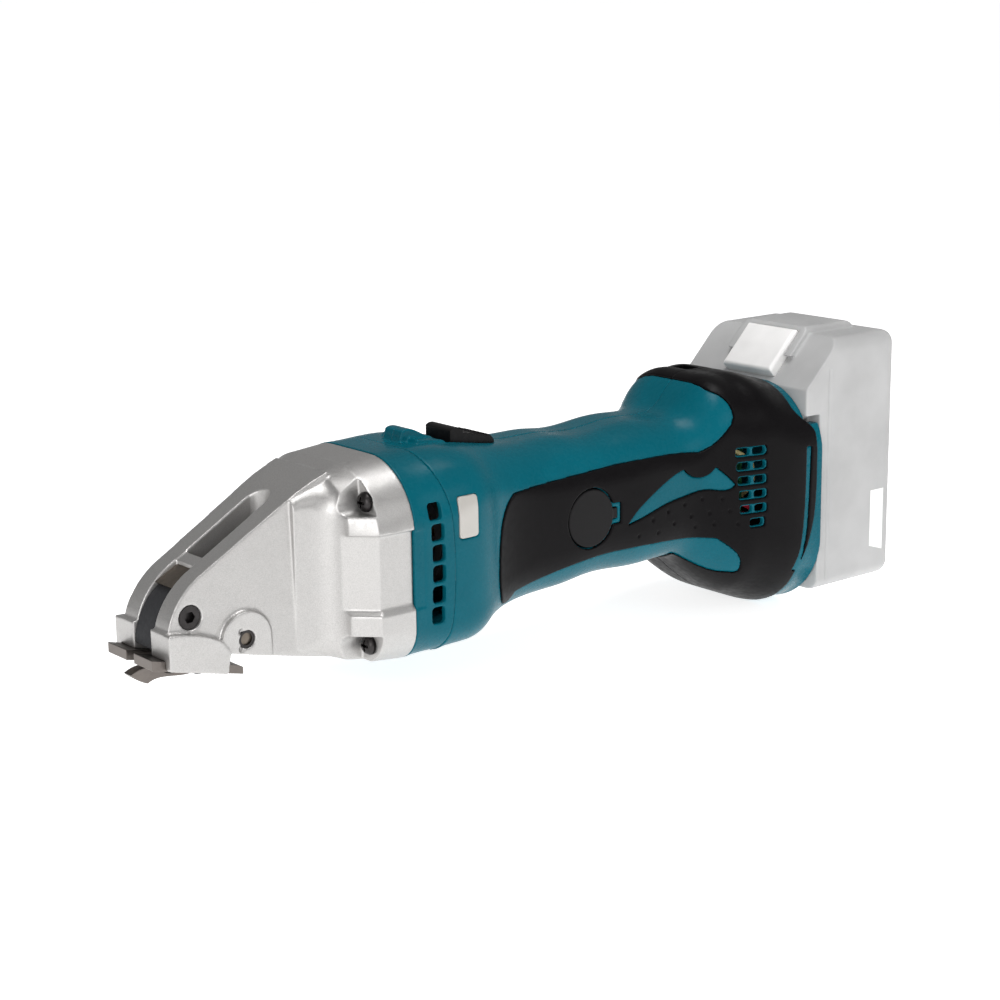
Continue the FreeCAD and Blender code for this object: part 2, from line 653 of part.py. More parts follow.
def slot_tool():
    """The slot between the arms, open above and in front, and below as far as the pivot."""
    side = polygon([(-185.0, -60.0), (-126.0, -60.0), (-126.0, -27.6), (-118.0, -29.4), (-118.0, 60.0),
                    (-185.0, 60.0), (-185.0, -60.0)])
    way = prism("slot_way", "XZ", side, "-slot_half", "slot_half")
    end = cylinder("slot_round_end", ("slot_end", 0, -24), "slot_half", 90, "Z")
    return fuse("slot_space", way, end)


def gear_cavity():
    """Room for the gears, the crank and the lever's fork, with the crank bearing's web left in."""
    bore = cylinder("web_bore", ("web_front", 0, "crank_z"), 11.02, "web_back - web_front", "X")
    web = cut("crank_web", box("web_block", ("web_front", -60, -60), ("web_back", 60, 0.5)), bore)
    solid = [web, box("room_front", (-110, -60, -60), (-95.0, 60, 60))]
    for side in (-1, 1):
        for way, height in ((1, "screw_up"), (-1, "screw_low")):
            solid.append(corner_box("room_corner_%d_%d" % (side, way), side, way, height,
                                    "screw_pocket + 1.8", "screw_pocket + 1.8", -110, -87.6))
    room = cut("gear_room", cast_block("gear_room_form", "-cast_wall"), *solid)
    tunnel = box("lever_tunnel", (-122, "-slot_half", -30.6), (-94, "slot_half", 3.4))
    sweep = cylinder("roller_room", (-104.4, 0, "crank_z"), "roller_rad + throw + 0.6", 11, "X")
    return [room, tunnel, sweep]


def ordered(one, two):
    """The two formulas, the lower one first."""
    return (one, two) if doc_value(one) < doc_value(two) else (two, one)


def corner_box(name, side, way, height, reach_y, reach_z, x_low, x_high):
    """A box round a long screw's axis that runs out past the block's corner on that side."""
    y_low, y_high = ordered("%d * (screw_y - (%s))" % (side, reach_y), "%d * 60" % side)
    z_low, z_high = ordered("%s - %d * (%s)" % (height, way, reach_z), "%d * 60" % way)
    return box(name, (x_low, y_low, z_low), (x_high, y_high, z_high))


def screw_mouths():
    """In front of each long screw's head the block's corner is open, for a driver to reach it."""
    tools = at_corners("screw_mouth", -130, "screw_pocket", "130 + screw_seat")
    for side in (-1, 1):
        for way, height in ((1, "screw_up"), (-1, "screw_low")):
            for number, (in_y, in_z) in enumerate((("screw_pocket", "0"), ("0", "screw_pocket"))):
                tools.append(corner_box("screw_mouth_%d_%d_%d" % (side, way, number), side, way, height,
                                        in_y, in_z, -130, "screw_seat"))
    return tools


def arm_openings():
    """Pivot bore, bolt seats, blade seats, side bands and the screws' mouths."""
    tools = [
        cylinder("pivot_hole", ("pivot_x", -30, "pivot_z"), "pin_rad", 60, "Y"),
        cylinder("bolt_hole", ("bolt_x", -30, "bolt_z"), "bolt_rad + 0.05", 60, "Y"),
    ] + side_bands()
    for side in (-1, 1):
        start = "-30" if side < 0 else "bolt_seat"
        tools.append(cylinder("bolt_sink_%d" % side, ("bolt_x", start, "bolt_z"), "bolt_head + 0.25",
                              "30 - bolt_seat", "Y"))
        low, high = ("-blade_out", "-blade_gap") if side < 0 else ("blade_gap", "blade_out")
        tools.append(prism("blade_seat_%d" % side, "XZ", side_blade_profile(), low, high))
    return tools + screw_mouths() + blade_screw_shanks("seat_screw", 2.0, 12.0) + corner_bores("cast")


def build_gear_housing():
    nose = loft("arm_wedge", [trapezoid("arm_at_back", -98.0, 17.4, 19.7),
                              trapezoid("arm_at_front", -172.0, 11.6, 17.8)], ruled=True)
    form = fuse("cast_form", cast_block("cast_block", 0), cast_trough("cast_trough"), nose)
    trimmed = common("cast_trimmed", form, prism("cast_side", "XZ", cast_profile(), -60, 60))
    solid = fuse("cast_solid", trimmed, *cast_pads())
    space = fuse("cast_space", slot_tool(), *gear_cavity())
    hollow = cut("cast_hollow", solid, space)
    rods = at_corners("cast_sleeve", -90, "screw_pocket + 1.4", "90 + seam_x")
    sleeves = common("cast_sleeves", trimmed, fuse("cast_sleeve_rods", *rods))
    bridge = prism("slot_bridge", "XZ", polygon([
        (-151.2, 6.2), (-146.8, 8.6), (-147.4, -3.0), (-151.2, -3.0), (-151.2, 6.2)]), -8, 8)
    whole = fuse("cast_bridged", hollow, sleeves, bridge)
    finish(cut("gear_housing", whole, *arm_openings()), "gear_housing")


# ---------------------------------------------------------------- blades and nose hardware

def side_blade_profile():
    return polygon([(-176.6, -22.9), (-176.6, -26.9), (-138.0, -36.0), (-138.0, -33.2), (-140.4, -32.0),
                    (-176.6, -22.9)])


def blade_screw_shanks(name, radius, length):
    """Cylinders square to the sloping side blades, two for each blade."""
    tilt = FreeCAD.Rotation(FreeCAD.Vector(0, 1, 0), -13.3)
    shanks = []
    for side in (-1, 1):
        for number, x in enumerate((-164.0, -152.0)):
            obj = doc.addObject("Part::Cylinder", "%s_%d_%d" % (name, side, number))
            obj.Placement = FreeCAD.Placement(FreeCAD.Vector(), tilt)
            bind(obj, Radius=radius, Height=length)
            place(obj, x, side * 9.4, -26.9 - 0.2358 * (x + 176.6))
            shanks.append(obj)
    return shanks


def blade_screw_heads(name, grow):
    tilt = FreeCAD.Rotation(FreeCAD.Vector(0, 1, 0), -13.3)
    heads = []
    for side in (-1, 1):
        for number, x in enumerate((-164.0, -152.0)):
            obj = doc.addObject("Part::Cone", "%s_%d_%d" % (name, side, number))
            obj.Placement = FreeCAD.Placement(FreeCAD.Vector(), tilt)
            bind(obj, Radius1=3.8 + grow, Radius2=2.0 + grow, Height=1.8)
            place(obj, x, side * 9.4, -26.9 - 0.2358 * (x + 176.6))
            heads.append(obj)
    return heads


def build_side_blades():
    def left(name):
        bar = prism(name + "_bar", "XZ", side_blade_profile(), "-blade_out", "-blade_gap")
        return cut(name, bar, *(blade_screw_shanks(name + "_hole", 2.0, 12.0)[:2]
                                + blade_screw_heads(name + "_sink", 0)[:2]))
    both_sides("side_blade", left)
    screws = fuse("blade_screw_solids", *(blade_screw_shanks("blade_screw_shank", 2.0, 9.0)
                                          + blade_screw_heads("blade_screw_head", 0)))
    sockets = [cylinder("blade_screw_socket_%d_%d" % (side, number),
                        (x, side * 9.4, -30 - 0.2358 * (x + 176.6)), 1.3, 4.6, "Z")
               for side in (-1, 1) for number, x in enumerate((-164.0, -152.0))]
    finish(cut("blade_screws", screws, *sockets), "blade_screws")


def center_blade_profile():
    """The moving blade: beak, cutting edge and the shank that the lever's cheeks hold."""
    return [
        [(-178.2, -31.4), (-175.6, -30.2), (-171.6, -29.6)],
        [(-171.6, -29.6), (-161.0, -30.9)],
        [(-161.0, -30.9), (-156.0, -30.0), (-154.4, -26.0)],
        [(-154.4, -26.0), (-154.4, -12.8)],
        [(-154.4, -12.8), (-146.2, -12.8)],
        [(-146.2, -12.8), (-146.2, -32.0)],
        [(-146.2, -32.0), (-149.5, -35.0), (-158.0, -35.6), (-171.0, -36.0)],
        [(-171.0, -36.0), (-174.0, -34.6), (-178.2, -31.4)],
    ]


def lever_profile():
    """The rocking lever: cheeks for the blade, boss about the pivot, arm and fork.

    The fork is wide enough to clear the roller at every turn of the crank and every angle of the lever.
    """
    return [
        [(-154.2, -25.0), (-154.2, -11.0)],
        [(-154.2, -11.0), (-152.0, -9.2), (-146.0, -9.0)],
        [(-146.0, -9.0), (-128.0, -8.0), (-112.0, -3.0)],
        [(-112.0, -3.0), (-108.0, -1.1)],
        [(-108.0, -1.1), (-95.6, -1.1)],
        [(-95.6, -1.1), (-95.6, -2.5)],
        [(-95.6, -2.5), (-104.6, -2.5)],
        [(-104.6, -2.5), (-104.6, -25.5)],
        [(-104.6, -25.5), (-95.6, -25.5)],
        [(-95.6, -25.5), (-95.6, -26.9)],
        [(-95.6, -26.9), (-108.0, -26.9)],
        [(-108.0, -26.9), (-113.0, -25.4)],
        [(-113.0, -25.4), (-128.0, -25.2), (-132.5, -26.4)],
        [(-132.5, -26.4), (-137.5, -28.2), (-142.5, -26.4)],
        [(-142.5, -26.4), (-154.2, -25.0)],
    ]


BLADE_SCREWS = [(-150.3, -16.2), (-150.3, -22.2)]


def build_lever():
    plate = prism("lever_plate", "XZ", lever_profile(), "-lever_half", "lever_half")
    tools = [
        box("lever_blade_slot", (-160, "-center_half", -40), (-146.2, "center_half", -12.8)),
        cylinder("lever_bore", ("pivot_x", -10, "pivot_z"), "pin_rad + run_gap", 20, "Y"),
    ]
    for number, (x, z) in enumerate(BLADE_SCREWS):
        tools.append(cylinder("lever_screw_hole_%d" % number, (x, -10, z), 1.6, 20, "Y"))
        tools.append(cylinder("lever_screw_sink_%d" % number, (x, 4.0, z), 2.8, 6, "Y"))
    finish(cut("blade_lever", plate, *tools), "blade_lever")
    blade = prism("center_blade_plate", "XZ", center_blade_profile(), "-center_half", "center_half")
    holes = [cylinder("center_blade_hole_%d" % number, (x, -10, z), 1.6, 20, "Y")
             for number, (x, z) in enumerate(BLADE_SCREWS)]
    finish(cut("center_blade", blade, *holes), "center_blade")
    screws = []
    for number, (x, z) in enumerate(BLADE_SCREWS):
        shank = cylinder("cheek_screw_shank_%d" % number, (x, -5.3, z), 1.6, 9.3, "Y")
        head = cylinder("cheek_screw_head_%d" % number, (x, 4.0, z), 2.8, 1.3, "Y")
        screws.append(fuse("cheek_screw_%d" % number, shank, head))
    finish(group("center_blade_screws", *screws), "center_blade_screws")


def build_nose_hardware():
    pin = cylinder("pivot_pin_round", ("pivot_x", "-pin_half", "pivot_z"), "pin_rad", "2 * pin_half", "Y")
    finish(pin, "pivot_pin")
    clips = []
    for side in (-1, 1):
        start = "pin_half" if side > 0 else "-pin_half - 0.9"
        clips.append(ring("pivot_clip_%d" % side, ("pivot_x", start, "pivot_z"), "pin_rad - 0.02",
                          "pin_rad - 1.1", 0.9, "Y"))
    finish(group("pivot_clips", *clips), "pivot_clips")
    bolts = []
    for side in (-1, 1):
        head_low = "bolt_seat" if side > 0 else "-bolt_seat - 3.6"
        shank_low = 1.0 if side > 0 else "-bolt_seat"
        head = cylinder("nose_bolt_head_%d" % side, ("bolt_x", head_low, "bolt_z"), "bolt_head", 3.6, "Y")
        shank = cylinder("nose_bolt_shank_%d" % side, ("bolt_x", shank_low, "bolt_z"), "bolt_rad",
                         "bolt_seat - 1", "Y")
        turns = [math.radians(60 * k) for k in range(7)]
        hexagon = outline("nose_bolt_hex_%d" % side, "XZ", polygon(
            [(2.3 * math.cos(turn), 2.3 * math.sin(turn)) for turn in turns]))
        place(hexagon, "bolt_x", "bolt_seat + 1.2" if side > 0 else "-bolt_seat - 4", "bolt_z")
        socket = doc.addObject("Part::Extrusion", "nose_bolt_socket_%d" % side)
        socket.Base = hexagon
        socket.DirMode = "Custom"
        socket.Dir = FreeCAD.Vector(0, 1, 0)
        socket.Solid = True
        socket.LengthFwd = 2.8
        bolts.append(cut("nose_bolt_%d" % side, fuse("nose_bolt_solid_%d" % side, head, shank), socket))
    finish(group("nose_bolts", *bolts), "nose_bolts")
    guide = prism("guide_block", "XZ", [
        [(-156.0, -22.4), (-156.0, -2.2)], [(-156.0, -2.2), (-159.6, -1.4)],
        [(-159.6, -1.4), (-164.4, -5.6), (-168.2, -11.5), (-170.6, -19.0)],
        [(-170.6, -19.0), (-170.8, -22.0)], [(-170.8, -22.0), (-156.0, -22.4)]], -5.9, 5.9)
    bore = cylinder("guide_bore", ("bolt_x", -10, "bolt_z"), "bolt_rad + 0.05", 20, "Y")
    finish(cut("chip_guide", guide, bore), "chip_guide")
    slide = prism("chip_slide", "XZ", polygon([(-161.2, -0.4), (-151.3, 4.6), (-151.3, 2.6), (-160.0, -1.3),
                                               (-161.2, -0.4)]), -5.9, 5.9)
    finish(slide, "chip_slide")


# ---------------------------------------------------------------- gears, crank and bearings

def body_sketch(body, name, role, points):
    """A closed sketch of straight lines on one of the body's own origin planes."""
    plane = next(item for item in body.Origin.OriginFeatures if item.Role == role)
    sketch = body.newObject("Sketcher::SketchObject", name)
    sketch.AttachmentSupport = [(plane, "")]
    sketch.MapMode = "FlatFace"
    for one, two in zip(points, points[1:] + points[:1]):
        sketch.addGeometry(Part.LineSegment(FreeCAD.Vector(*one, 0), FreeCAD.Vector(*two, 0)))
    return sketch


def gear_body(name, teeth, wide):
    """A spur gear about X: a hub disc with one tooth padded and patterned round it."""
    teeth_now = int(size(teeth))
    pitch = size("tooth") * teeth_now / 2
    root = pitch - 1.25 * size("tooth")
    tip = pitch + 0.8 * size("tooth")
    half = math.pi / teeth_now / 2
    body = doc.addObject("PartDesign::Body", name)
    disc = body.newObject("PartDesign::AdditiveCylinder", name + "_disc")
    disc.Radius = root
    bind(disc, Height=wide)
    disc.AttachmentOffset = FreeCAD.Placement()
    plane = next(item for item in body.Origin.OriginFeatures if item.Role == "YZ_Plane")
    disc.AttachmentSupport = [(plane, "")]
    disc.MapMode = "FlatFace"
    low = root * 0.9
    flank = [(low, 1.15 * half * pitch), (root, 1.1 * half * pitch), (pitch, 0.85 * half * pitch),
             (tip, 0.35 * half * pitch)]
    points = flank + [(radius, -width) for radius, width in flank[::-1]]
    sketch = body_sketch(body, name + "_tooth_outline", "YZ_Plane", points)
    doc.recompute()
    tooth = body.newObject("PartDesign::Pad", name + "_tooth")
    tooth.Profile = sketch
    bind(tooth, Length=wide)
    pattern = body.newObject("PartDesign::PolarPattern", name + "_teeth")
    pattern.Originals = [tooth]
    axis = next(item for item in body.Origin.OriginFeatures if item.Role == "X_Axis")
    pattern.Axis = (axis, [""])
    pattern.Angle = 360
    pattern.setExpression("Occurrences", formula(teeth))
    body.Tip = pattern
    return body


def build_gears():
    """The wheels start in mesh: the gear's gap faces the pinion's tooth."""
    wheel = gear_body("wheel_solid", "gear_teeth", "gear_wide")
    turn = FreeCAD.Rotation(FreeCAD.Vector(1, 0, 0), -90 / size("gear_teeth"))
    wheel.Placement = FreeCAD.Placement(FreeCAD.Vector(), turn)
    place(wheel, "gear_x", 0, "crank_z")
    bore = cylinder("wheel_bore", ("gear_x - 1", 0, "crank_z"), 4.0, 10, "X")
    lightening = [cylinder("wheel_hole_%d" % k, ("gear_x - 1", 7.3 * math.cos(math.radians(60 * k)),
                                                 "crank_z + %.4f" % (7.3 * math.sin(math.radians(60 * k)))),
                           1.7, 10, "X") for k in range(6)]
    finish(cut("crank_gear", wheel, bore, *lightening), "crank_gear")
    pinion = gear_body("pinion_solid", "pinion_teeth", "gear_wide + 0.6")
    turn = FreeCAD.Rotation(FreeCAD.Vector(1, 0, 0), -90)
    pinion.Placement = FreeCAD.Placement(FreeCAD.Vector(), turn)
    place(pinion, "gear_x - 0.3", 0, 0)
    finish(cut("pinion", pinion, cylinder("pinion_bore", ("gear_x - 1", 0, 0), 1.5, 10, "X")), "pinion")


def build_crank():
    shaft = lathe("crank_shaft_round", [(-96.2, 0), (-96.2, 6.2), (-93.4, 6.2), (-93.4, 4.0), (-74.6, 4.0),
                                        (-74.6, 0), (-96.2, 0)], "crank_z")
    stud = cylinder("crank_stud", (-103.0, "throw", "crank_z"), 3.0, 7.0, "X")
    finish(fuse("crankshaft", shaft, stud), "crankshaft")
    finish(ring("crank_roller", (-102.4, "throw", "crank_z"), "roller_rad", 3.0, 5.6), "crank_roller")
    front = ring("crank_bearing_front", ("web_front", 0, "crank_z"), 11.02, 4.03, "web_back - web_front")
    rear = ring("crank_bearing_rear", (-78.4, 0, "crank_z"), 5.8, 4.03, 3.8)
    finish(group("crank_bearings", front, rear), "crank_bearings")
    plate = section_plate("bearing_plate_form")
    hub = cylinder("bearing_plate_hub", (-75.4, 0, 0), 10.4, 5.8, "X")
    finish(cut("bearing_plate", fuse("bearing_plate_solid", plate, hub),
               cylinder("plate_crank_bore", (-79, 0, "crank_z"), 5.8, 6.0, "X"),
               cylinder("plate_motor_seat", (-74.6, 0, 0), "bearing_rad", 8, "X"),
               cylinder("plate_shaft_way", (-80, 0, 0), 4.4, 8, "X"),
               *at_corners("plate_clearance", -79, "screw_pocket + 1.8", 6)), "bearing_plate")


def section_plate(name):
    """The flat plate across the back of the gear housing's cavity."""
    sections = [cast_section("%s_%d" % (name, number), x, -5.0, 40.0, 38.4, -40.5, 28.0, 15.0)
                for number, x in enumerate((-78.4, -74.6))]
    return loft(name, sections, ruled=True)


# ---------------------------------------------------------------- motor

def build_motor():
    rotor = lathe("armature_shaft_round", [
        (-84.6, 0), (-84.6, 1.5), (-78.0, 1.5), (-78.0, 2.5), (41.0, 2.5), (41.0, 0), (-84.6, 0)])
    finish(rotor, "armature_shaft")
    slots = []
    for k in range(12):
        angle = math.radians(30 * k + 15)
        slots.append(cylinder("core_slot_%d" % k, (-46, 12.4 * math.cos(angle), 12.4 * math.sin(angle)),
                              1.9, 60, "X"))
        slots.append(cylinder("core_gap_%d" % k, (-46, 15.0 * math.cos(angle), 15.0 * math.sin(angle)),
                              0.9, 60, "X"))
    core = ring("core_stack", ("core_front", 0, 0), "core_rad", "shaft_rad", "core_back - core_front")
    finish(cut("armature_core", core, *slots), "armature_core")
    coils = [
        lathe("coil_front", [
            (-51.5, 4.2), (-51.5, 11.0), (-48.5, 13.2), (-45.0, 13.6), (-45.0, 4.2), (-51.5, 4.2)]),
        lathe("coil_back", [
            (8.0, 4.2), (8.0, 13.6), (11.5, 13.2), (14.5, 11.0), (14.5, 4.2), (8.0, 4.2)]),
    ]
    finish(group("armature_coils", *coils), "armature_coils")
    bars = ring("commutator_drum", ("comm_x", 0, 0), "comm_rad", "shaft_rad", "comm_long")
    lines = []
    for k in range(24):
        turn = FreeCAD.Rotation(FreeCAD.Vector(1, 0, 0), 15 * k)
        line = box("commutator_line_%d" % k, ("comm_x - 1", -0.2, "comm_rad - 0.7"),
                   ("comm_x + comm_long - 2", 0.2, "comm_rad + 1"))
        spot = turn.multVec(FreeCAD.Vector(size("comm_x") - 1, -0.2, size("comm_rad") - 0.7))
        line.Placement = FreeCAD.Placement(spot, turn)
        place(line, spot.x, spot.y, spot.z)
        lines.append(line)
    finish(cut("commutator", bars, *lines), "commutator")
    build_fan()
    front = ring("motor_bearing_front", (-74.6, 0, 0), "bearing_rad", "shaft_rad + run_gap", "bearing_wide")
    rear = ring("motor_bearing_rear", ("shaft_back - bearing_wide", 0, 0), "bearing_rad",
                "shaft_rad + run_gap", "bearing_wide")
    finish(group("motor_bearings", front, rear), "motor_bearings")
    yoke = ring("yoke_tube", ("yoke_front", 0, 0), "yoke_rad", "yoke_in", "yoke_back - yoke_front")
    finish(cut("motor_yoke", yoke, box("yoke_notch", (8, -3, 15), (20, 3, 30))), "motor_yoke")
    magnets = []
    for side in (-1, 1):
        tube = ring("magnet_tube_%d" % side, (-46, 0, 0), "yoke_in", "magnet_in", 55)
        low, high = (-30, -9) if side < 0 else (9, 30)
        magnets.append(common("magnet_%d" % side, tube, box("magnet_half_%d" % side, (-50, low, -30),
                                                            (12, high, 30))))
    finish(group("field_magnets", *magnets), "field_magnets")


def build_fan():
    hub = ring("fan_hub", ("fan_x", 0, 0), 7.0, "shaft_rad", "fan_wide")
    plate = ring("fan_plate", ("fan_x", 0, 0), "fan_rad", 6.0, 1.2)
    blades = []
    for k in range(15):
        angle = 24.0 * k
        turn = FreeCAD.Rotation(FreeCAD.Vector(1, 0, 0), angle)
        blade = box("fan_blade_%d" % k, (0, 0, 0), ("fan_wide - 0.4", 1.1, "fan_rad - 9.4"))
        spot = turn.multVec(FreeCAD.Vector(size("fan_x") + 0.4, -0.5, 9.0))
        lean = FreeCAD.Rotation(FreeCAD.Vector(1, 0, 0), angle + 12.0)
        blade.Placement = FreeCAD.Placement(spot, lean)
        place(blade, spot.x, spot.y, spot.z)
        blades.append(blade)
    finish(fuse("cooling_fan", hub, plate, *blades), "cooling_fan")


def build_brushes():
    def holder(name):
        tube = cylinder(name + "_round", ("brush_x", -26.0, "brush_z"), 7.6, 13.6, "Y")
        channel = box(name + "_channel", ("brush_x - 3.05", -40, "brush_z - 4.05"),
                      ("brush_x + 3.05", 0, "brush_z + 4.05"))
        return cut(name, tube, channel)

    def brush(name):
        block = box(name + "_block", ("brush_x - 3", -19.0, "brush_z - 4"),
                    ("brush_x + 3", -8.0, "brush_z + 4"))
        drum = cylinder(name + "_drum", ("comm_x - 1", 0, 0), "comm_rad + run_gap", "comm_long + 2", "X")
        return cut(name, block, drum)

    def cap(name):
        disc = cylinder(name + "_disc", ("brush_x", "-cap_out", "brush_z"), "cap_rad", 3.0, "Y")
        tab = box(name + "_tab", ("brush_x", "-cap_out + 0.6", "brush_z - 2.3"),
                  (39.4, "-cap_out + 3", "brush_z + 2.3"))
        return fuse(name, rounded(name + "_soft", disc, 0.5,
                                  lambda edge: edge.BoundBox.YMax < -size("cap_out") + 0.01), tab)

    both_sides("brush_holder", holder)
    both_sides("carbon_brush", brush)
    both_sides("brush_cap", cap)
    springs = []
    for side in (-1, 1):
        low = "-26.0" if side < 0 else "19.0"
        springs.append(ring("brush_spring_%d" % side, ("brush_x", low, "brush_z"), 2.6, 1.9, 7.0, "Y"))
    finish(group("brush_springs", *springs), "brush_springs")


# ---------------------------------------------------------------- switch, lamps and wiring

def build_switch():
    """The sliding knob on top, its link along the handle and the switch it works."""
    knob = prism("knob_block", "XZ", [
        [(-32.0, 32.3), (-32.0, 40.6)], [(-32.0, 40.6), (-30.6, 41.4), (-27.4, 41.2), (-25.2, 38.9)],
        [(-25.2, 38.9), (-23.0, 38.4), (-16.0, 37.6), (-11.0, 35.8), (-9.4, 33.6)],
        [(-9.4, 33.6), (-9.4, 32.3)], [(-9.4, 32.3), (-32.0, 32.3)]], "-knob_half", "knob_half")
    grooves = [cylinder("knob_groove_%d" % k, (-22.5 + 3.0 * k, -20, 39.6 - 0.75 * k), 1.5, 40, "Y")
               for k in range(4)]
    finish(cut("switch_knob", knob, *grooves), "switch_knob")
    neck = box("link_neck", (-24.0, -4.0, 26.5), (-18.0, 4.0, 32.3))
    rod = box("link_rod", (-30.0, -3.0, "rod_low"), (60.0, 3.0, "rod_high"))
    foot = box("link_foot", (57.0, -3.0, 20.2), (60.0, 3.0, 26.5))
    finish(fuse("switch_link", neck, rod, foot), "switch_link")
    case = rounded("switch_case", box("switch_block", (48.0, -8.0, -4.0), (78.0, 8.0, 19.6)), 1.2,
                   lambda edge: along(edge, FreeCAD.Vector(0, 1, 0)))
    lugs = [box("switch_lug_%d" % k, (78.0, -6.0 + 8.0 * k, 4.0), (82.0, -2.0 + 8.0 * k, 4.8))
            for k in range(2)]
    finish(fuse("switch_unit", case, *lugs), "switch_unit")


def build_lamps():
    def lens(name):
        block = round_slot(name + "_window", (-48.0, 13.9), 9.6, 16.4, -45.0, -34.8)
        window = common(name + "_face", block, body_loft(name + "_form", "0.1", 0, 4))
        flange = box(name + "_flange", (-53.8, -34.8, 5.2), (-42.2, -33.9, 22.6))
        return fuse(name, window, flange)

    def board(name):
        plate = box(name + "_plate", (-53.4, -33.6, 5.4), (-42.6, -32.4, 22.4))
        chip = box(name + "_chip", (-49.5, -33.9, 12.4), (-46.5, -33.6, 15.4))
        return fuse(name, plate, chip)

    both_sides("lamp_lens", lens)
    both_sides("lamp_board", board)


def wire(name, points, radius):
    """A lead along straight runs joined by tangent arcs as large as the runs allow."""
    spots = [FreeCAD.Vector(*point) for point in points]
    edges = []
    here = spots[0]
    for before, corner, after in zip(spots, spots[1:], spots[2:]):
        back = (before - corner)
        ahead = (after - corner)
        reach = 0.45 * min(back.Length, ahead.Length)
        back.normalize()
        ahead.normalize()
        enter = corner + back * reach
        leave = corner + ahead * reach
        bisector = back + ahead
        bisector.normalize()
        half = back.getAngle(bisector)
        middle = corner + bisector * (reach / math.cos(half) - reach * math.tan(half))
        edges.append(Part.LineSegment(here, enter).toShape())
        edges.append(Part.Arc(enter, middle, leave).toShape())
        here = leave
    edges.append(Part.LineSegment(here, spots[-1]).toShape())
    path = doc.addObject("Part::Feature", name + "_path")
    path.Shape = Part.Wire(edges)
    profile = doc.addObject("Part::Feature", name + "_profile")
    heading = spots[1] - spots[0]
    profile.Shape = Part.Wire([Part.Circle(spots[0], heading, radius).toShape()])
    sweep = doc.addObject("Part::Sweep", name)
    sweep.Sections = [profile]
    sweep.Spine = path
    sweep.Solid = True
    sweep.Frenet = False
    return sweep


# The middles of the three contacts across the tool.
CONTACT_ROWS = (-12.5, 0.3, 13.1)


def build_electrics():
    """Terminal block, contacts, board and the leads that show through the rear air slots."""
    block = box("terminal_body", ("receiver_x - 14", -19.8, -33.8), ("receiver_x - 0.4", 19.8, -10.2))
    slots = [box("terminal_slot_%d" % k, ("receiver_x - 6", y - 0.7, -31.0), ("receiver_x", y + 0.7, -13.0))
             for k, y in enumerate(CONTACT_ROWS)]
    finish(cut("terminal_block", block, *slots), "terminal_block")
    blades = [box("contact_%d" % k, ("receiver_x - 6", y - 0.5, -30.0), ("receiver_x + 5.5", y + 0.5, -14.0))
              for k, y in enumerate(CONTACT_ROWS)]
    finish(group("terminal_contacts", *blades), "terminal_contacts")
    board = box("board_plate", (120.0, -20.0, -18.0), (121.6, 20.0, 18.0))
    parts = []
    for k in range(3):
        y, z = -14.0 + 9.0 * k, -12.0 + 6.0 * k
        parts.append(box("board_part_%d" % k, (116.0, y, z), (120.0, y + 6.0, z + 8.0)))
    finish(fuse("control_board", board, *parts), "control_board")
    cream = [(82.0, -4.0, 4.4), (88.0, -4.0, 4.4), (94.0, -16.0, 12.0), (104.0, -29.0, 17.5),
             (117.0, -31.5, 9.5), (124.0, -24.0, -4.0), (124.0, -14.0, -12.0), (129.0, -14.0, -12.0)]
    red = [(82.0, 4.0, 4.4), (87.0, 4.0, 4.4), (91.0, -8.0, -2.0), (103.0, -27.0, -5.5),
           (116.0, -31.5, -10.5), (123.5, -24.0, -17.0), (124.0, -8.0, -18.0), (129.0, -8.0, -18.0)]
    finish(wire("cream_lead", cream, 1.0), "lead_wires_cream")
    finish(wire("red_lead", red, 1.0), "lead_wires_red")


# ---------------------------------------------------------------- fasteners

def cross_recess(name, x, y, z, axis, deep):
    """A cross-shaped driver recess: two slots across a screw head."""
    if axis == "X":
        return [box(name + "_a", (x, y - 2.2, z - 0.5), (x + deep, y + 2.2, z + 0.5)),
                box(name + "_b", (x, y - 0.5, z - 2.2), (x + deep, y + 0.5, z + 2.2))]
    return [box(name + "_a", (x - 1.7, y, z - 0.4), (x + 1.7, y + deep, z + 0.4)),
            box(name + "_b", (x - 0.4, y, z - 1.7), (x + 0.4, y + deep, z + 1.7))]


def build_screws():
    long_screws = []
    for side in (-1, 1):
        for height in ("screw_up", "screw_low"):
            key = "case_screw_%d_%s" % (side, height)
            spot = ("%d * screw_y" % side, height)
            disc = cylinder(key + "_disc", ("screw_seat - 3.2",) + spot, 3.9, 3.2, "X")
            head = rounded(key + "_head", disc, 1.4,
                           lambda edge: edge.BoundBox.XMax < size("screw_seat") - 1)
            shank = cylinder(key + "_shank", ("screw_seat",) + spot, "case_screw", 44, "X")
            recess = cross_recess(key + "_recess", size("screw_seat") - 3.3, side * size("screw_y"),
                                  size(height), "X", 1.9)
            long_screws.append(cut(key, fuse(key + "_solid", head, shank), *recess))
    finish(group("housing_screws", *long_screws), "housing_screws")
    short = []
    for number, (x, z) in enumerate(SHELL_SCREWS):
        key = "shell_screw_%d" % number
        head = cylinder(key + "_head", (x, 14.0, z), 3.0, 2.2, "Y")
        shank = cylinder(key + "_shank", (x, -15.0, z), 1.55, 29.0, "Y")
        recess = cross_recess(key + "_recess", x, 14.8, z, "Y", 2)
        short.append(cut(key, fuse(key + "_solid", head, shank), *recess))
    finish(group("shell_screws", *short), "shell_screws")


# ---------------------------------------------------------------- battery pack

def slope_tool(name, lift=0.0):
    """Everything in front of and above the pack's 45 degree shoulder."""
    low = 38.2 + lift
    return prism(name, "XZ", polygon([
        (120.0, low - 23.3), (168.0, low + 24.7), (168.0, 100.0), (120.0, 100.0), (120.0, low - 23.3)]),
        -60, 60)


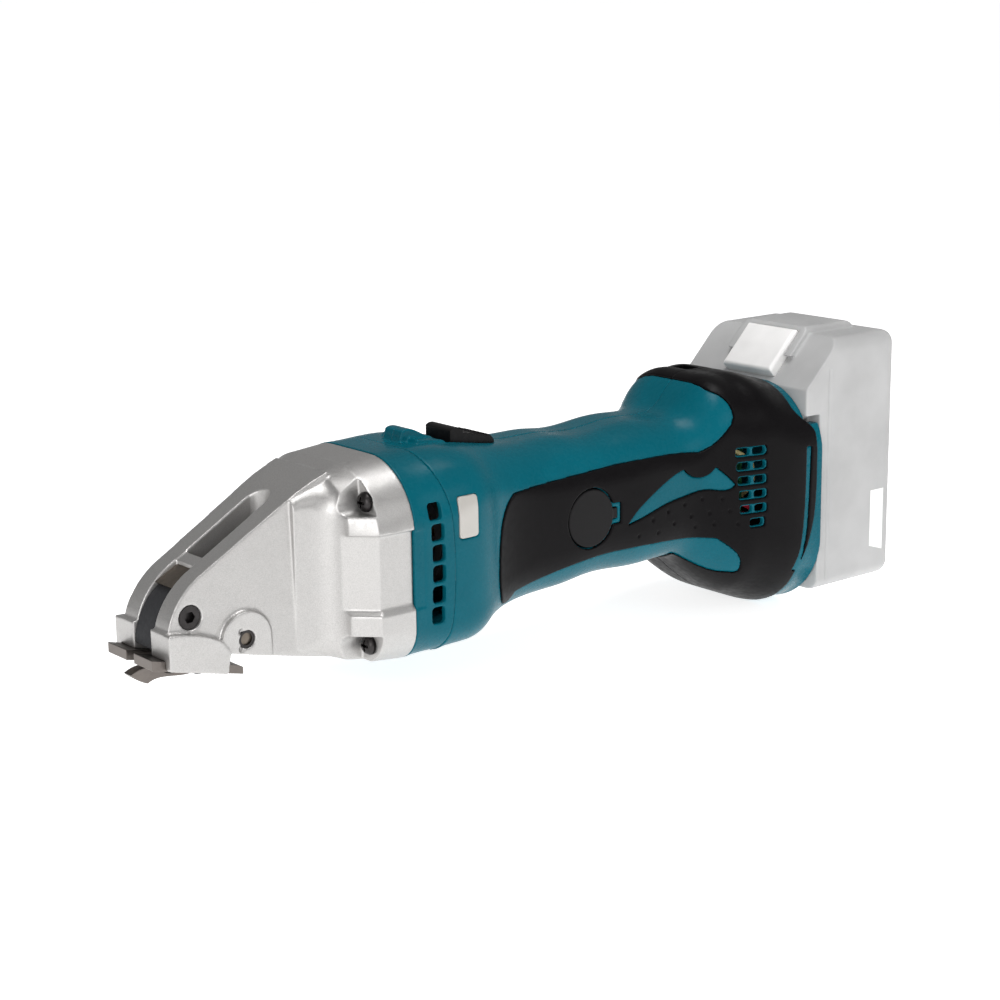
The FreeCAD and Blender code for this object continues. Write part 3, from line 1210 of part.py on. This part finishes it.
def pack_hump():
    """The raised middle of the pack's top."""
    def on_top(edge):
        high = edge.BoundBox.ZMin > 60
        return high and (along(edge, FreeCAD.Vector(1, 0, 0)) or edge.BoundBox.XMin > 180)
    block = box("pack_hump_block", (150.0, -19.5, 50.0), (193.0, 19.5, 62.0))
    return cut("pack_hump_sloped", rounded("pack_hump", block, 3.4, on_top), slope_tool("hump_slope", 3.9))


def pack_form():
    """The pack's outside, without its deck."""
    def soft_edge(edge):
        return along(edge, FreeCAD.Vector(1, 0, 0)) or edge.BoundBox.XMin > size("pack_back") - 0.1
    core = box("pack_block", ("pack_front", "-pack_half", "pack_low"),
               ("pack_back", "pack_half", "pack_top"))
    lip = box("pack_lip", ("deck_x", "-pack_half", "lip_low"), ("pack_front", "pack_half", "pack_top"))
    main = fuse("pack_main", rounded("pack_rounded", core, size("pack_round"), soft_edge), lip)
    return fuse("pack_solid", cut("pack_sloped", main, slope_tool("pack_slope")), pack_hump())


def build_pack():
    block = box("pack_room_block",
                ("pack_front + pack_wall", "-pack_half + pack_wall", "pack_low + pack_wall"),
                ("pack_back - pack_wall", "pack_half - pack_wall", "pack_top - 14"))
    room = cut("pack_room", block, slope_tool("room_slope", -13.2))
    grooves = []
    for side in (-1, 1):
        y = side * 40.0
        grooves.append(box("pack_side_groove_%d" % side, (157.6, y - 3.0, -60.0), (159.2, y + 3.0, 46.0)))
    well = button_well("pack_well", 0.3, "well_deep")
    finish(cut("battery_case", pack_form(), room, well, *grooves), "battery_case")
    build_deck()
    cells = []
    for column in range(2):
        for row in range(5):
            x = 166.2 + size("cell_pitch") * column
            z = -41.6 + size("cell_pitch") * row
            cells.append(cylinder("cell_%d_%d" % (column, row), (x, "-cell_long / 2", z), "cell_rad",
                                  "cell_long", "Y"))
    finish(group("battery_cells", *cells), "battery_cells")
    build_button()


def build_deck():
    """The pack's front deck with its rail grooves, contact slots and spring contacts."""
    deck = box("pack_deck_block", ("deck_x", "-deck_half", "deck_low"),
               ("pack_front", "deck_half", "lip_low"))
    slots = [box("deck_slot_%d" % k, ("deck_x - 1", y - 1.4, -50), ("deck_x + 6.4", y + 1.4, -9.0))
             for k, y in enumerate(CONTACT_ROWS)]
    rails = []
    for side, low, high in ((-1, -40, "-tongue_half + 0.35"), (1, "tongue_half - 0.35", 40)):
        rails.append(box("deck_groove_%d" % side, ("tongue_front - 0.35", low, -50),
                         ("tongue_back + 0.35", high, 24.0)))
    finish(cut("battery_deck", deck, *(slots + rails)), "battery_deck")
    clips = []
    for k, y in enumerate(CONTACT_ROWS):
        for side in (-1, 1):
            middle = y + side * 1.15
            clips.append(box("pack_clip_%d_%d" % (k, side), ("deck_x + 0.6", middle - 0.25, -40.0),
                             ("deck_x + 6.2", middle + 0.25, -12.0)))
    finish(group("battery_contacts", *clips), "battery_contacts")


SHOULDER = FreeCAD.Rotation(FreeCAD.Vector(0, 1, 0), -45)


def on_shoulder(obj, up, across, depth):
    """Set the object square to the shoulder: how far up it, across it and sunk below it."""
    spot = FreeCAD.Vector(146.4, across, 41.3) + SHOULDER.multVec(FreeCAD.Vector(up, 0, -depth))
    obj.Placement = FreeCAD.Placement(spot, SHOULDER)
    place(obj, spot.x, spot.y, spot.z)
    return obj


def button_well(name, gap, deep):
    """The button's form, grown by a gap, from a depth below the shoulder to far above it."""
    obj = doc.addObject("Part::Box", name)
    bind(obj, Length="button_long + 2 * (%s)" % gap, Width="2 * (button_half + (%s))" % gap,
         Height="(%s) + 12" % deep)
    return on_shoulder(obj, -gap, -size("button_half") - gap, doc_value(deep))


def build_button():
    body = button_well("button_body", 0, "button_sunk")
    bind(body, Height="button_sunk + button_proud")
    doc.recompute()
    out = SHOULDER.multVec(FreeCAD.Vector(0, 0, 1))
    face = max(vertex.Point.dot(out) for vertex in body.Shape.Vertexes)
    soft = rounded("button_soft", body, 1.6, lambda edge: edge.CenterOfMass.dot(out) > face - 0.1)
    finish(soft, "battery_button")
    coil = []
    for name, radius in (("button_spring_outer", 3.2), ("button_spring_inner", 2.3)):
        tube = doc.addObject("Part::Cylinder", name)
        bind(tube, Radius=radius, Height="well_deep - button_sunk")
        coil.append(on_shoulder(tube, size("button_long") / 2, 0, size("well_deep")))
    finish(cut("button_spring", *coil), "button_spring")


def main():
    build_shells()
    build_vent_ring()
    build_gear_housing()
    build_side_blades()
    build_lever()
    build_nose_hardware()
    build_gears()
    build_crank()
    build_motor()
    build_brushes()
    build_switch()
    build_lamps()
    build_electrics()
    build_screws()
    build_pack()
    check_and_write()


def check_and_write():
    doc.recompute()
    faults = [obj.Label for obj in doc.Objects if set(obj.State) & {"Invalid", "Error"}]
    for obj in subparts:
        shape = obj.Shape
        if shape.isNull() or not shape.isValid() or not shape.Solids:
            faults.append(obj.Label + " shape")
    if faults:
        raise SystemExit("faulty: " + ", ".join(faults))
    for obj in subparts:
        obj.Shape.exportStep("parts/%s.step" % obj.Label)
        print(obj.Label, len(obj.Shape.Solids), round(obj.Shape.Volume))


main()
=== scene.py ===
"""Looks of the cordless metal shear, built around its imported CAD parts.

Lengths in the tables below are millimetres from the motor's axis: x along the tool with the
blades at -x, y to the right, z up. at() turns them into the frame's metres.
"""

import json
import math

import bmesh
import bpy
from mathutils import Matrix, Vector
from mathutils.kdtree import KDTree


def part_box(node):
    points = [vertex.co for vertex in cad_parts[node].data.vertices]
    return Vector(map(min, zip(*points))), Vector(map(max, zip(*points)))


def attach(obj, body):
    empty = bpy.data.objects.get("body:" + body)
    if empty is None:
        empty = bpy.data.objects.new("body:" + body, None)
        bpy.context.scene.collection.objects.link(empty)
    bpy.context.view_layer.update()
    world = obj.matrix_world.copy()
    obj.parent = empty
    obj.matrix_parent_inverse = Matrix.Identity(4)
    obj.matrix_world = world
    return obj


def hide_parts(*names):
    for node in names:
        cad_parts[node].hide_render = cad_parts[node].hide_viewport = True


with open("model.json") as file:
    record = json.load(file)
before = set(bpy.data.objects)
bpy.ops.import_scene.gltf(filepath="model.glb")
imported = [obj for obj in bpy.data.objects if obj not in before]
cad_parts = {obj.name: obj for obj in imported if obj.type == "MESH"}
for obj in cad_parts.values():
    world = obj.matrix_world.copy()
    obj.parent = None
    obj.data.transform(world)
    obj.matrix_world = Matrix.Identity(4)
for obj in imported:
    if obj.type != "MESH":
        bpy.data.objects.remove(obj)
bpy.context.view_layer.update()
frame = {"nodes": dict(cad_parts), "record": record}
MM = 0.001
SHAFT_END = 41.0  # the motor shaft's rear end, along the tool
SHAFT_LOW, SHAFT_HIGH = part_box("armature_shaft")
MOTOR = Vector((SHAFT_HIGH.x - SHAFT_END * MM, 0.0, (SHAFT_LOW.z + SHAFT_HIGH.z) / 2))


def at(x, y, z):
    """A point given in millimetres from the motor's axis, in the frame's metres."""
    return MOTOR + Vector((x, y, z)) * MM


# ---------------------------------------------------------------- materials

# Sockets of a colour Mix node, which share their names with its other kinds.
MIX_ONE, MIX_TWO, MIX_RESULT = 6, 7, 2


class Nodes:
    """A material's node tree, with short ways to add and join nodes."""

    def __init__(self, name):
        self.material = bpy.data.materials.new(name)
        self.material.use_nodes = True
        self.tree = self.material.node_tree
        self.shader = self.tree.nodes["Principled BSDF"]
        coords = self.tree.nodes.new("ShaderNodeTexCoord")
        self.place = coords.outputs["Object"]

    def add(self, kind, **values):
        node = self.tree.nodes.new(kind)
        for key, value in values.items():
            if key in node.inputs:
                node.inputs[key].default_value = value
            else:
                setattr(node, key, value)
        return node

    def link(self, out, into):
        self.tree.links.new(out, into)

    def noise(self, scale, detail=3.0, stretch=(1, 1, 1)):
        """Noise with features about 1/scale metres wide."""
        mapping = self.add("ShaderNodeMapping")
        mapping.inputs["Scale"].default_value = stretch
        self.link(self.place, mapping.inputs["Vector"])
        noise = self.add("ShaderNodeTexNoise", Scale=scale, Detail=detail)
        self.link(mapping.outputs["Vector"], noise.inputs["Vector"])
        return noise.outputs["Fac"]

    def cells(self, scale):
        cells = self.add("ShaderNodeTexVoronoi", Scale=scale)
        cells.feature = "SMOOTH_F1"
        self.link(self.place, cells.inputs["Vector"])
        return cells.outputs["Distance"]

    def ramp(self, value, low, high, low_at=0.35, high_at=0.65):
        """Map a value to a number between low and high."""
        node = self.add("ShaderNodeMapRange")
        node.inputs["From Min"].default_value = low_at
        node.inputs["From Max"].default_value = high_at
        node.inputs["To Min"].default_value = low
        node.inputs["To Max"].default_value = high
        self.link(value, node.inputs["Value"])
        return node.outputs["Result"]

    def blend(self, share, one, two):
        """One colour turning into another as share goes from 0 to 1. Either may be a node's output."""
        node = self.add("ShaderNodeMix", data_type="RGBA")
        self.link(share, node.inputs["Factor"])
        for colour, spot in ((one, MIX_ONE), (two, MIX_TWO)):
            if isinstance(colour, tuple):
                node.inputs[spot].default_value = (*colour, 1.0)
            else:
                self.link(colour, node.inputs[spot])
        return node.outputs[MIX_RESULT]

    def worn_edges(self, amount):
        """A share that rises to amount on convex edges, broken up by noise."""
        geometry = self.add("ShaderNodeNewGeometry")
        edge = self.ramp(geometry.outputs["Pointiness"], 0.0, amount, 0.56, 0.66)
        spots = self.ramp(self.noise(260.0), 0.1, 1.0, 0.42, 0.6)
        both = self.add("ShaderNodeMath", operation="MULTIPLY")
        self.link(edge, both.inputs[0])
        self.link(spots, both.inputs[1])
        return both.outputs["Value"]

    def bump(self, height, strength, distance, after=None):
        node = self.add("ShaderNodeBump", Strength=strength, Distance=distance)
        self.link(height, node.inputs["Height"])
        if after:
            self.link(after, node.inputs["Normal"])
        return node.outputs["Normal"]


def shade(colour, factor):
    return tuple(min(1.0, part * factor) for part in colour)


def moulded(name, colour, rough, grain=2600.0, depth=0.00002, worn=0.25, **shader):
    """Plastic, rubber or paint: a fine moulded grain, uneven gloss and slightly paler edges."""
    nodes = Nodes(name)
    patches = nodes.ramp(nodes.noise(38.0), 0.0, 1.0)
    tone = nodes.blend(patches, shade(colour, 0.93), shade(colour, 1.07))
    pale = tuple(part * 0.8 + 0.05 for part in colour)
    edged = nodes.blend(nodes.worn_edges(worn), tone, pale)
    nodes.link(edged, nodes.shader.inputs["Base Color"])
    gloss = nodes.ramp(nodes.noise(420.0, 4.0), rough - 0.05, rough + 0.06)
    nodes.link(gloss, nodes.shader.inputs["Roughness"])
    fine = nodes.bump(nodes.cells(grain), 0.35, depth)
    broad = nodes.bump(nodes.noise(240.0, 2.0), 0.08, 0.0002, fine)
    nodes.link(broad, nodes.shader.inputs["Normal"])
    for socket, value in shader.items():
        nodes.shader.inputs[socket.replace("_", " ")].default_value = value
    return nodes.material


def metal(name, colour, rough, stretch=(1, 1, 1), grain=900.0, depth=0.00003, dirt=0.35, **shader):
    """Machined or forged metal: drawn-out grinding marks, dull patches and brighter edges."""
    nodes = Nodes(name)
    marks = nodes.noise(grain, 5.0, stretch)
    patches = nodes.ramp(nodes.noise(70.0, 5.0), 0.0, dirt, 0.4, 0.7)
    tone = nodes.blend(patches, colour, shade(colour, 0.6))
    edged = nodes.blend(nodes.worn_edges(0.5), tone, shade(colour, 1.35))
    nodes.link(edged, nodes.shader.inputs["Base Color"])
    gloss = nodes.ramp(marks, rough - 0.08, rough + 0.1)
    nodes.link(gloss, nodes.shader.inputs["Roughness"])
    nodes.link(nodes.bump(marks, 0.4, depth), nodes.shader.inputs["Normal"])
    nodes.shader.inputs["Metallic"].default_value = 1.0
    for socket, value in shader.items():
        nodes.shader.inputs[socket.replace("_", " ")].default_value = value
    return nodes.material


def cast_paint():
    """Satin silver paint over a fine casting, with metal flake."""
    nodes = Nodes("cast_metal")
    base = (0.5, 0.49, 0.48)
    flakes = nodes.ramp(nodes.cells(3400.0), 0.0, 1.0, 0.1, 0.6)
    sparkle = nodes.blend(flakes, shade(base, 1.12), shade(base, 0.88))
    patches = nodes.ramp(nodes.noise(45.0), 0.0, 0.25)
    tone = nodes.blend(patches, sparkle, shade(base, 0.9))
    nodes.link(tone, nodes.shader.inputs["Base Color"])
    nodes.link(nodes.ramp(nodes.noise(600.0, 4.0), 0.36, 0.47), nodes.shader.inputs["Roughness"])
    skin = nodes.bump(nodes.noise(1500.0, 3.0), 0.3, 0.00004)
    waves = nodes.bump(nodes.noise(150.0, 2.0), 0.12, 0.0003, skin)
    nodes.link(waves, nodes.shader.inputs["Normal"])
    nodes.shader.inputs["Metallic"].default_value = 0.8
    nodes.shader.inputs["Coat Weight"].default_value = 0.15
    nodes.shader.inputs["Coat Roughness"].default_value = 0.3
    return nodes.material


def core_stack():
    """A stack of thin steel sheets, seen as fine lines across the motor's axis."""
    nodes = Nodes("core_steel")
    wave = nodes.add("ShaderNodeTexWave", Scale=600.0, Distortion=0.3)
    nodes.link(nodes.place, wave.inputs["Vector"])
    lines = wave.outputs["Fac"]
    nodes.link(nodes.blend(lines, (0.16, 0.16, 0.17), (0.3, 0.3, 0.31)), nodes.shader.inputs["Base Color"])
    nodes.link(nodes.ramp(nodes.noise(300.0), 0.4, 0.55), nodes.shader.inputs["Roughness"])
    nodes.link(nodes.bump(lines, 0.3, 0.0001), nodes.shader.inputs["Normal"])
    nodes.shader.inputs["Metallic"].default_value = 0.9
    return nodes.material


TEAL = (0.0008, 0.1, 0.137)
MATERIALS = {
    "cast_metal": cast_paint(),
    "teal_plastic": moulded("teal_plastic", TEAL, 0.27, worn=0.06, Specular_IOR_Level=0.11),
    "black_overmould": moulded("black_overmould", (0.0045, 0.004, 0.0045), 0.36, 1900.0, 0.00004, 0.05,
                               Specular_IOR_Level=0.07),
    "black_plastic": moulded("black_plastic", (0.007, 0.0065, 0.007), 0.34, 1800.0, 0.00003, 0.1,
                             Specular_IOR_Level=0.12),
    "blade_steel": metal("blade_steel", (0.17, 0.152, 0.14), 0.36, (1, 6, 6), 700.0),
    "forged_steel": metal("forged_steel", (0.17, 0.145, 0.12), 0.45, (1, 1, 1), 400.0, 0.00008),
    "black_iron": moulded("black_iron", (0.045, 0.046, 0.05), 0.62, 700.0, 0.0003, 0.3, Metallic=0.6),
    "black_steel": metal("black_steel", (0.045, 0.042, 0.042), 0.36, (1, 1, 1), 500.0),
    "bright_steel": metal("bright_steel", (0.6, 0.59, 0.58), 0.24, (1, 8, 8), 800.0),
    "plate_metal": metal("plate_metal", (0.62, 0.61, 0.6), 0.4, (1, 1, 1), 900.0),
    "core_steel": core_stack(),
    "magnet_grey": moulded("magnet_grey", (0.07, 0.07, 0.075), 0.55, 900.0, 0.00008),
    "copper": metal("copper", (0.72, 0.3, 0.13), 0.3, (10, 1, 1), 900.0, 0.00012),
    "contact_brass": metal("contact_brass", (0.78, 0.6, 0.3), 0.28, (1, 1, 6), 700.0),
    "fan_plastic": moulded("fan_plastic", (0.02, 0.02, 0.021), 0.45),
    "clear_lens": moulded("clear_lens", (0.47, 0.45, 0.42), 0.2, 800.0, 0.00005, 0.1,
                          Coat_Weight=0.5, Coat_Roughness=0.08),
    "board_green": moulded("board_green", (0.02, 0.16, 0.06), 0.35, 900.0, 0.00004),
    "cream_wire": moulded("cream_wire", (0.74, 0.62, 0.3), 0.38),
    "red_wire": moulded("red_wire", (0.5, 0.02, 0.04), 0.38),
    "pale_plastic": moulded("pale_plastic", (0.46, 0.46, 0.46), 0.5, worn=0.05),
    "cell_metal": moulded("cell_metal", (0.16, 0.3, 0.5), 0.3, 600.0, 0.00003, 0.1),
    "white_plastic": moulded("white_plastic", (0.93, 0.92, 0.91), 0.42, worn=0.0),
}
SLOT_OF = {entry["node"]: entry["material_slot"] for entry in frame["record"]["subparts"]}
BODY_OF = {node: body for body, members in frame["record"]["behaviour"]["bodies"].items()
           for node in members}


def dress(obj, slot):
    """Give a piece the one material of that slot."""
    obj.data.materials.clear()
    obj.data.materials.append(MATERIALS[slot])


def add_piece(name, mesh, slot, body, smooth=True):
    """Link a new mesh as a piece that rides on a body."""
    obj = bpy.data.objects.new(name, mesh)
    bpy.context.scene.collection.objects.link(obj)
    for face in mesh.polygons:
        face.use_smooth = smooth
    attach(obj, body)
    dress(obj, slot)
    return obj


# ---------------------------------------------------------------- moulded and cast pieces

def evaluated_mesh(obj):
    """A new mesh of the object with its modifiers applied."""
    graph = bpy.context.evaluated_depsgraph_get()
    graph.update()
    return bpy.data.meshes.new_from_object(obj.evaluated_get(graph), depsgraph=graph)


def soften(node, voxel, passes, faces, shape=None):
    """Stand in for a CAD node with its edges rounded: remeshed, smoothed, shaped, then thinned."""
    work = bpy.data.objects.new(node + "_work", frame["nodes"][node].data.copy())
    bpy.context.scene.collection.objects.link(work)
    remesh = work.modifiers.new("remesh", "REMESH")
    remesh.mode = "VOXEL"
    remesh.voxel_size = voxel * MM
    smooth = work.modifiers.new("smooth", "SMOOTH")
    smooth.factor = 0.5
    smooth.iterations = passes
    mesh = evaluated_mesh(work)
    work.modifiers.clear()
    work.data = mesh
    if shape:
        shape(mesh)
    if len(mesh.polygons) > faces:
        thin = work.modifiers.new("thin", "DECIMATE")
        thin.ratio = faces / len(mesh.polygons)
        mesh = evaluated_mesh(work)
    bpy.data.objects.remove(work)
    piece = add_piece(node + "_finished", mesh, SLOT_OF[node], BODY_OF[node])
    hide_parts(node)
    return piece


def press(mesh, spots, radius, depth):
    """Push round hollows (negative: bumps) into the outer side at spots given as (x, z)."""
    tree = KDTree(len(spots))
    for number, (x, z) in enumerate(spots):
        spot = at(x, 0, z)
        tree.insert((spot.x, 0, spot.z), number)
    tree.balance()
    for vertex in mesh.vertices:
        far = tree.find((vertex.co.x, 0, vertex.co.z))[2] / (radius * MM)
        if far < 1:
            vertex.co.y -= math.copysign(depth * MM * (1 - far * far) ** 2, vertex.co.y)


# Rows of hollows below the bare wing, front to back: (x, z).
GRIP_HOLLOWS = [
    (59.0, -7.3), (67.8, -5.1), (77.3, -3.5), (87.1, -2.6), (96.8, -3.4),
    (51.2, -13.0), (62.2, -13.4), (71.3, -10.9), (81.1, -9.3), (90.9, -9.1), (100.3, -9.2),
    (83.8, -14.4), (93.1, -14.3), (104.1, -15.3),
]


# Two lumps staked over the pivot pin's edge, and nubs along the strip beside the battery: (x, z).
STAKING_LUMPS = [(-139.9, -18.6), (-140.1, -25.2)]
STRIP_NUBS = [(141.9, 5.9), (141.2, -9.3), (139.6, -24.0)]


def shape_casting(mesh):
    """Lumps of metal staked over the pivot pin's edge."""
    press(mesh, STAKING_LUMPS, 1.7, -1.3)


def shape_grip(mesh):
    """Shallow round hollows below the bare wing."""
    press(mesh, GRIP_HOLLOWS, 1.25, 0.55)


def shape_housing(mesh):
    """Small nubs along the bare strip beside the battery."""
    press(mesh, STRIP_NUBS, 0.9, -0.35)


SCREW_SIDE = 30.6
SCREW_HEIGHTS = (25.0, -31.0)
HEAD_REACH = 4.2
HEAD_LONG = 2.2
HEAD_DOME = 1.5


def shape_screws(mesh):
    """Dome the pan heads of the four long screws."""
    head_front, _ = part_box("housing_screws")
    axes = [at(0, side * SCREW_SIDE, height) for side in (-1, 1) for height in SCREW_HEIGHTS]
    reach = HEAD_REACH * MM
    for vertex in mesh.vertices:
        if vertex.co.x > head_front.x + HEAD_LONG * MM:
            continue
        far = min(math.hypot(vertex.co.y - axis.y, vertex.co.z - axis.z) for axis in axes) / reach
        vertex.co.x += HEAD_DOME * MM * min(far, 1.0) ** 2


# For each softened node: voxel in millimetres, smoothing passes, most faces, and its shaping.
SOFTENED = {
    "gear_housing": (0.45, 5, 120000, shape_casting), "vent_ring": (0.4, 4, 60000, None),
    "housing_left": (0.45, 5, 160000, shape_housing), "housing_right": (0.45, 5, 160000, shape_housing),
    "grip_left": (0.35, 4, 80000, shape_grip), "grip_right": (0.35, 4, 80000, shape_grip),
    "battery_case": (0.5, 5, 90000, None), "battery_deck": (0.5, 2, 40000, None),
    "battery_button": (0.3, 5, 20000, None), "switch_knob": (0.2, 4, 30000, None),
    "chip_guide": (0.2, 6, 20000, None), "housing_screws": (0.16, 2, 50000, shape_screws),
    "brush_cap_left": (0.25, 2, 20000, None), "brush_cap_right": (0.25, 2, 20000, None),
    "side_blade_left": (0.16, 2, 20000, None), "side_blade_right": (0.16, 2, 20000, None),
    "center_blade": (0.16, 2, 20000, None), "lamp_lens_left": (0.2, 12, 12000, None),
    "lamp_lens_right": (0.2, 12, 12000, None),
}


def build_softened():
    for node, (voxel, passes, faces, shape) in SOFTENED.items():
        soften(node, voxel, passes, faces, shape)


LABEL_FRONT = 186.8
LABEL_WIDE = 8.8
LABEL_TOP = -13.4
LABEL_LOW = -39.4
LABEL_DROP = 2.8  # how much lower its rear corner is than its front one
LABEL_LIFT = 0.1
LABEL_COLUMNS, LABEL_ROWS = 8, 24
BESIDE_BATTERY = -45.0  # clear of its left side, where the search for the surface starts


def build_label():
    """A blank white sticker low on the battery's left side, laid on the case's surface."""
    case = bpy.data.objects["battery_case_finished"]
    work = bmesh.new()
    grid = []
    for column in range(LABEL_COLUMNS + 1):
        share = column / LABEL_COLUMNS
        x = LABEL_FRONT + LABEL_WIDE * share
        low = LABEL_LOW - LABEL_DROP * share
        line = []
        for row in range(LABEL_ROWS + 1):
            spot = at(x, BESIDE_BATTERY, low + (LABEL_TOP - low) * row / LABEL_ROWS)
            _, near, normal, _ = case.closest_point_on_mesh(spot)
            line.append(work.verts.new(near + normal * LABEL_LIFT * MM))
        grid.append(line)
    for one, two in zip(grid, grid[1:]):
        for row in range(LABEL_ROWS):
            work.faces.new((one[row], two[row], two[row + 1], one[row + 1]))
    mesh = bpy.data.meshes.new("battery_label")
    work.to_mesh(mesh)
    work.free()
    add_piece("battery_label", mesh, "white_plastic", BODY_OF["battery_case"])


def dress_cad_nodes():
    for node, obj in frame["nodes"].items():
        dress(obj, SLOT_OF[node])


# ---------------------------------------------------------------- stage

# Strengths of the floor's own light and of the studio's walls and roof.
FLOOR_GLOW = 0.78
WALL_GLOW = 0.26
ROOF_GLOW = 0.24
FLOOR_HALF = 40.0  # metres, so that the floor fills the whole view
FADE_FROM, FADE_TO = 0.1, 0.75  # heights, as sines, between which wall turns into roof
STAGE_MIDDLE = Vector((0, 0, 0.06))

# Each light's place from the stage's middle in metres, its power, its width and its height.
LIGHTS = {
    "front_box": ((-1.1, -0.95, 0.4), 8.0, 0.8, 0.7),
    "side_box": ((0.35, -1.3, 0.75), 2.6, 1.2, 0.5),
    "top_box": ((0.1, -0.2, 1.2), 8.5, 1.0, 0.4),
}


def area_light(name, spot, target, power, wide, tall):
    light = bpy.data.lights.new(name, "AREA")
    light.shape = "RECTANGLE"
    light.size = wide
    light.size_y = tall
    light.energy = power
    obj = bpy.data.objects.new(name, light)
    bpy.context.scene.collection.objects.link(obj)
    obj.location = spot
    obj.rotation_euler = (target - spot).to_track_quat("-Z", "Y").to_euler()


def build_floor():
    """A plain white floor that gives off most of the light it shows, so that it looks evenly white."""
    half = FLOOR_HALF
    mesh = bpy.data.meshes.new("floor")
    mesh.from_pydata([(-half, -half, 0), (half, -half, 0), (half, half, 0), (-half, half, 0)],
                     [], [(0, 1, 2, 3)])
    floor = bpy.data.objects.new("floor", mesh)
    bpy.context.scene.collection.objects.link(floor)
    paper = bpy.data.materials.new("floor_paper")
    paper.use_nodes = True
    shader = paper.node_tree.nodes["Principled BSDF"]
    shader.inputs["Base Color"].default_value = (0.93, 0.93, 0.93, 1)
    shader.inputs["Roughness"].default_value = 0.9
    shader.inputs["Specular IOR Level"].default_value = 0.1
    shader.inputs["Emission Color"].default_value = (1, 1, 1, 1)
    shader.inputs["Emission Strength"].default_value = FLOOR_GLOW
    mesh.materials.append(paper)


def build_world():
    """An even, dim studio tent, with a slightly dimmer roof."""
    world = bpy.data.worlds.new("studio")
    bpy.context.scene.world = world
    world.use_nodes = True
    tree = world.node_tree
    direction = tree.nodes.new("ShaderNodeTexCoord")
    split = tree.nodes.new("ShaderNodeSeparateXYZ")
    tree.links.new(direction.outputs["Generated"], split.inputs["Vector"])
    fade = tree.nodes.new("ShaderNodeMapRange")
    fade.inputs["From Min"].default_value = FADE_FROM
    fade.inputs["From Max"].default_value = FADE_TO
    fade.inputs["To Min"].default_value = WALL_GLOW
    fade.inputs["To Max"].default_value = ROOF_GLOW
    tree.links.new(split.outputs["Z"], fade.inputs["Value"])
    background = tree.nodes["Background"]
    background.inputs["Color"].default_value = (1, 1, 1, 1)
    tree.links.new(fade.outputs["Result"], background.inputs["Strength"])


def build_stage():
    build_floor()
    build_world()
    for name, (offset, power, wide, tall) in LIGHTS.items():
        area_light(name, STAGE_MIDDLE + Vector(offset), STAGE_MIDDLE, power, wide, tall)
    bpy.context.scene.view_settings.view_transform = "Standard"


CAMERA_SPOT = (-562.1, -684.6, 219.0)
CAMERA_RIGHT = (0.7712, -0.6365, -0.0111)
CAMERA_FORWARD = (0.6169, 0.7514, -0.2342)


def build_camera():
    """The photograph's viewpoint: in front and to the left, a little above."""
    data = bpy.data.cameras.new("camera")
    data.lens = 79.4
    data.sensor_width = 36.0
    data.clip_start = 0.05
    camera = bpy.data.objects.new("camera", data)
    bpy.context.scene.collection.objects.link(camera)
    right = Vector(CAMERA_RIGHT).normalized()
    forward = Vector(CAMERA_FORWARD).normalized()
    up = right.cross(forward).normalized()
    right = forward.cross(up)
    turn = Matrix((right, up, -forward)).transposed()
    camera.matrix_world = Matrix.Translation(at(*CAMERA_SPOT)) @ turn.to_4x4()
    bpy.context.scene.camera = camera


dress_cad_nodes()
build_softened()
build_label()
build_stage()
build_camera()
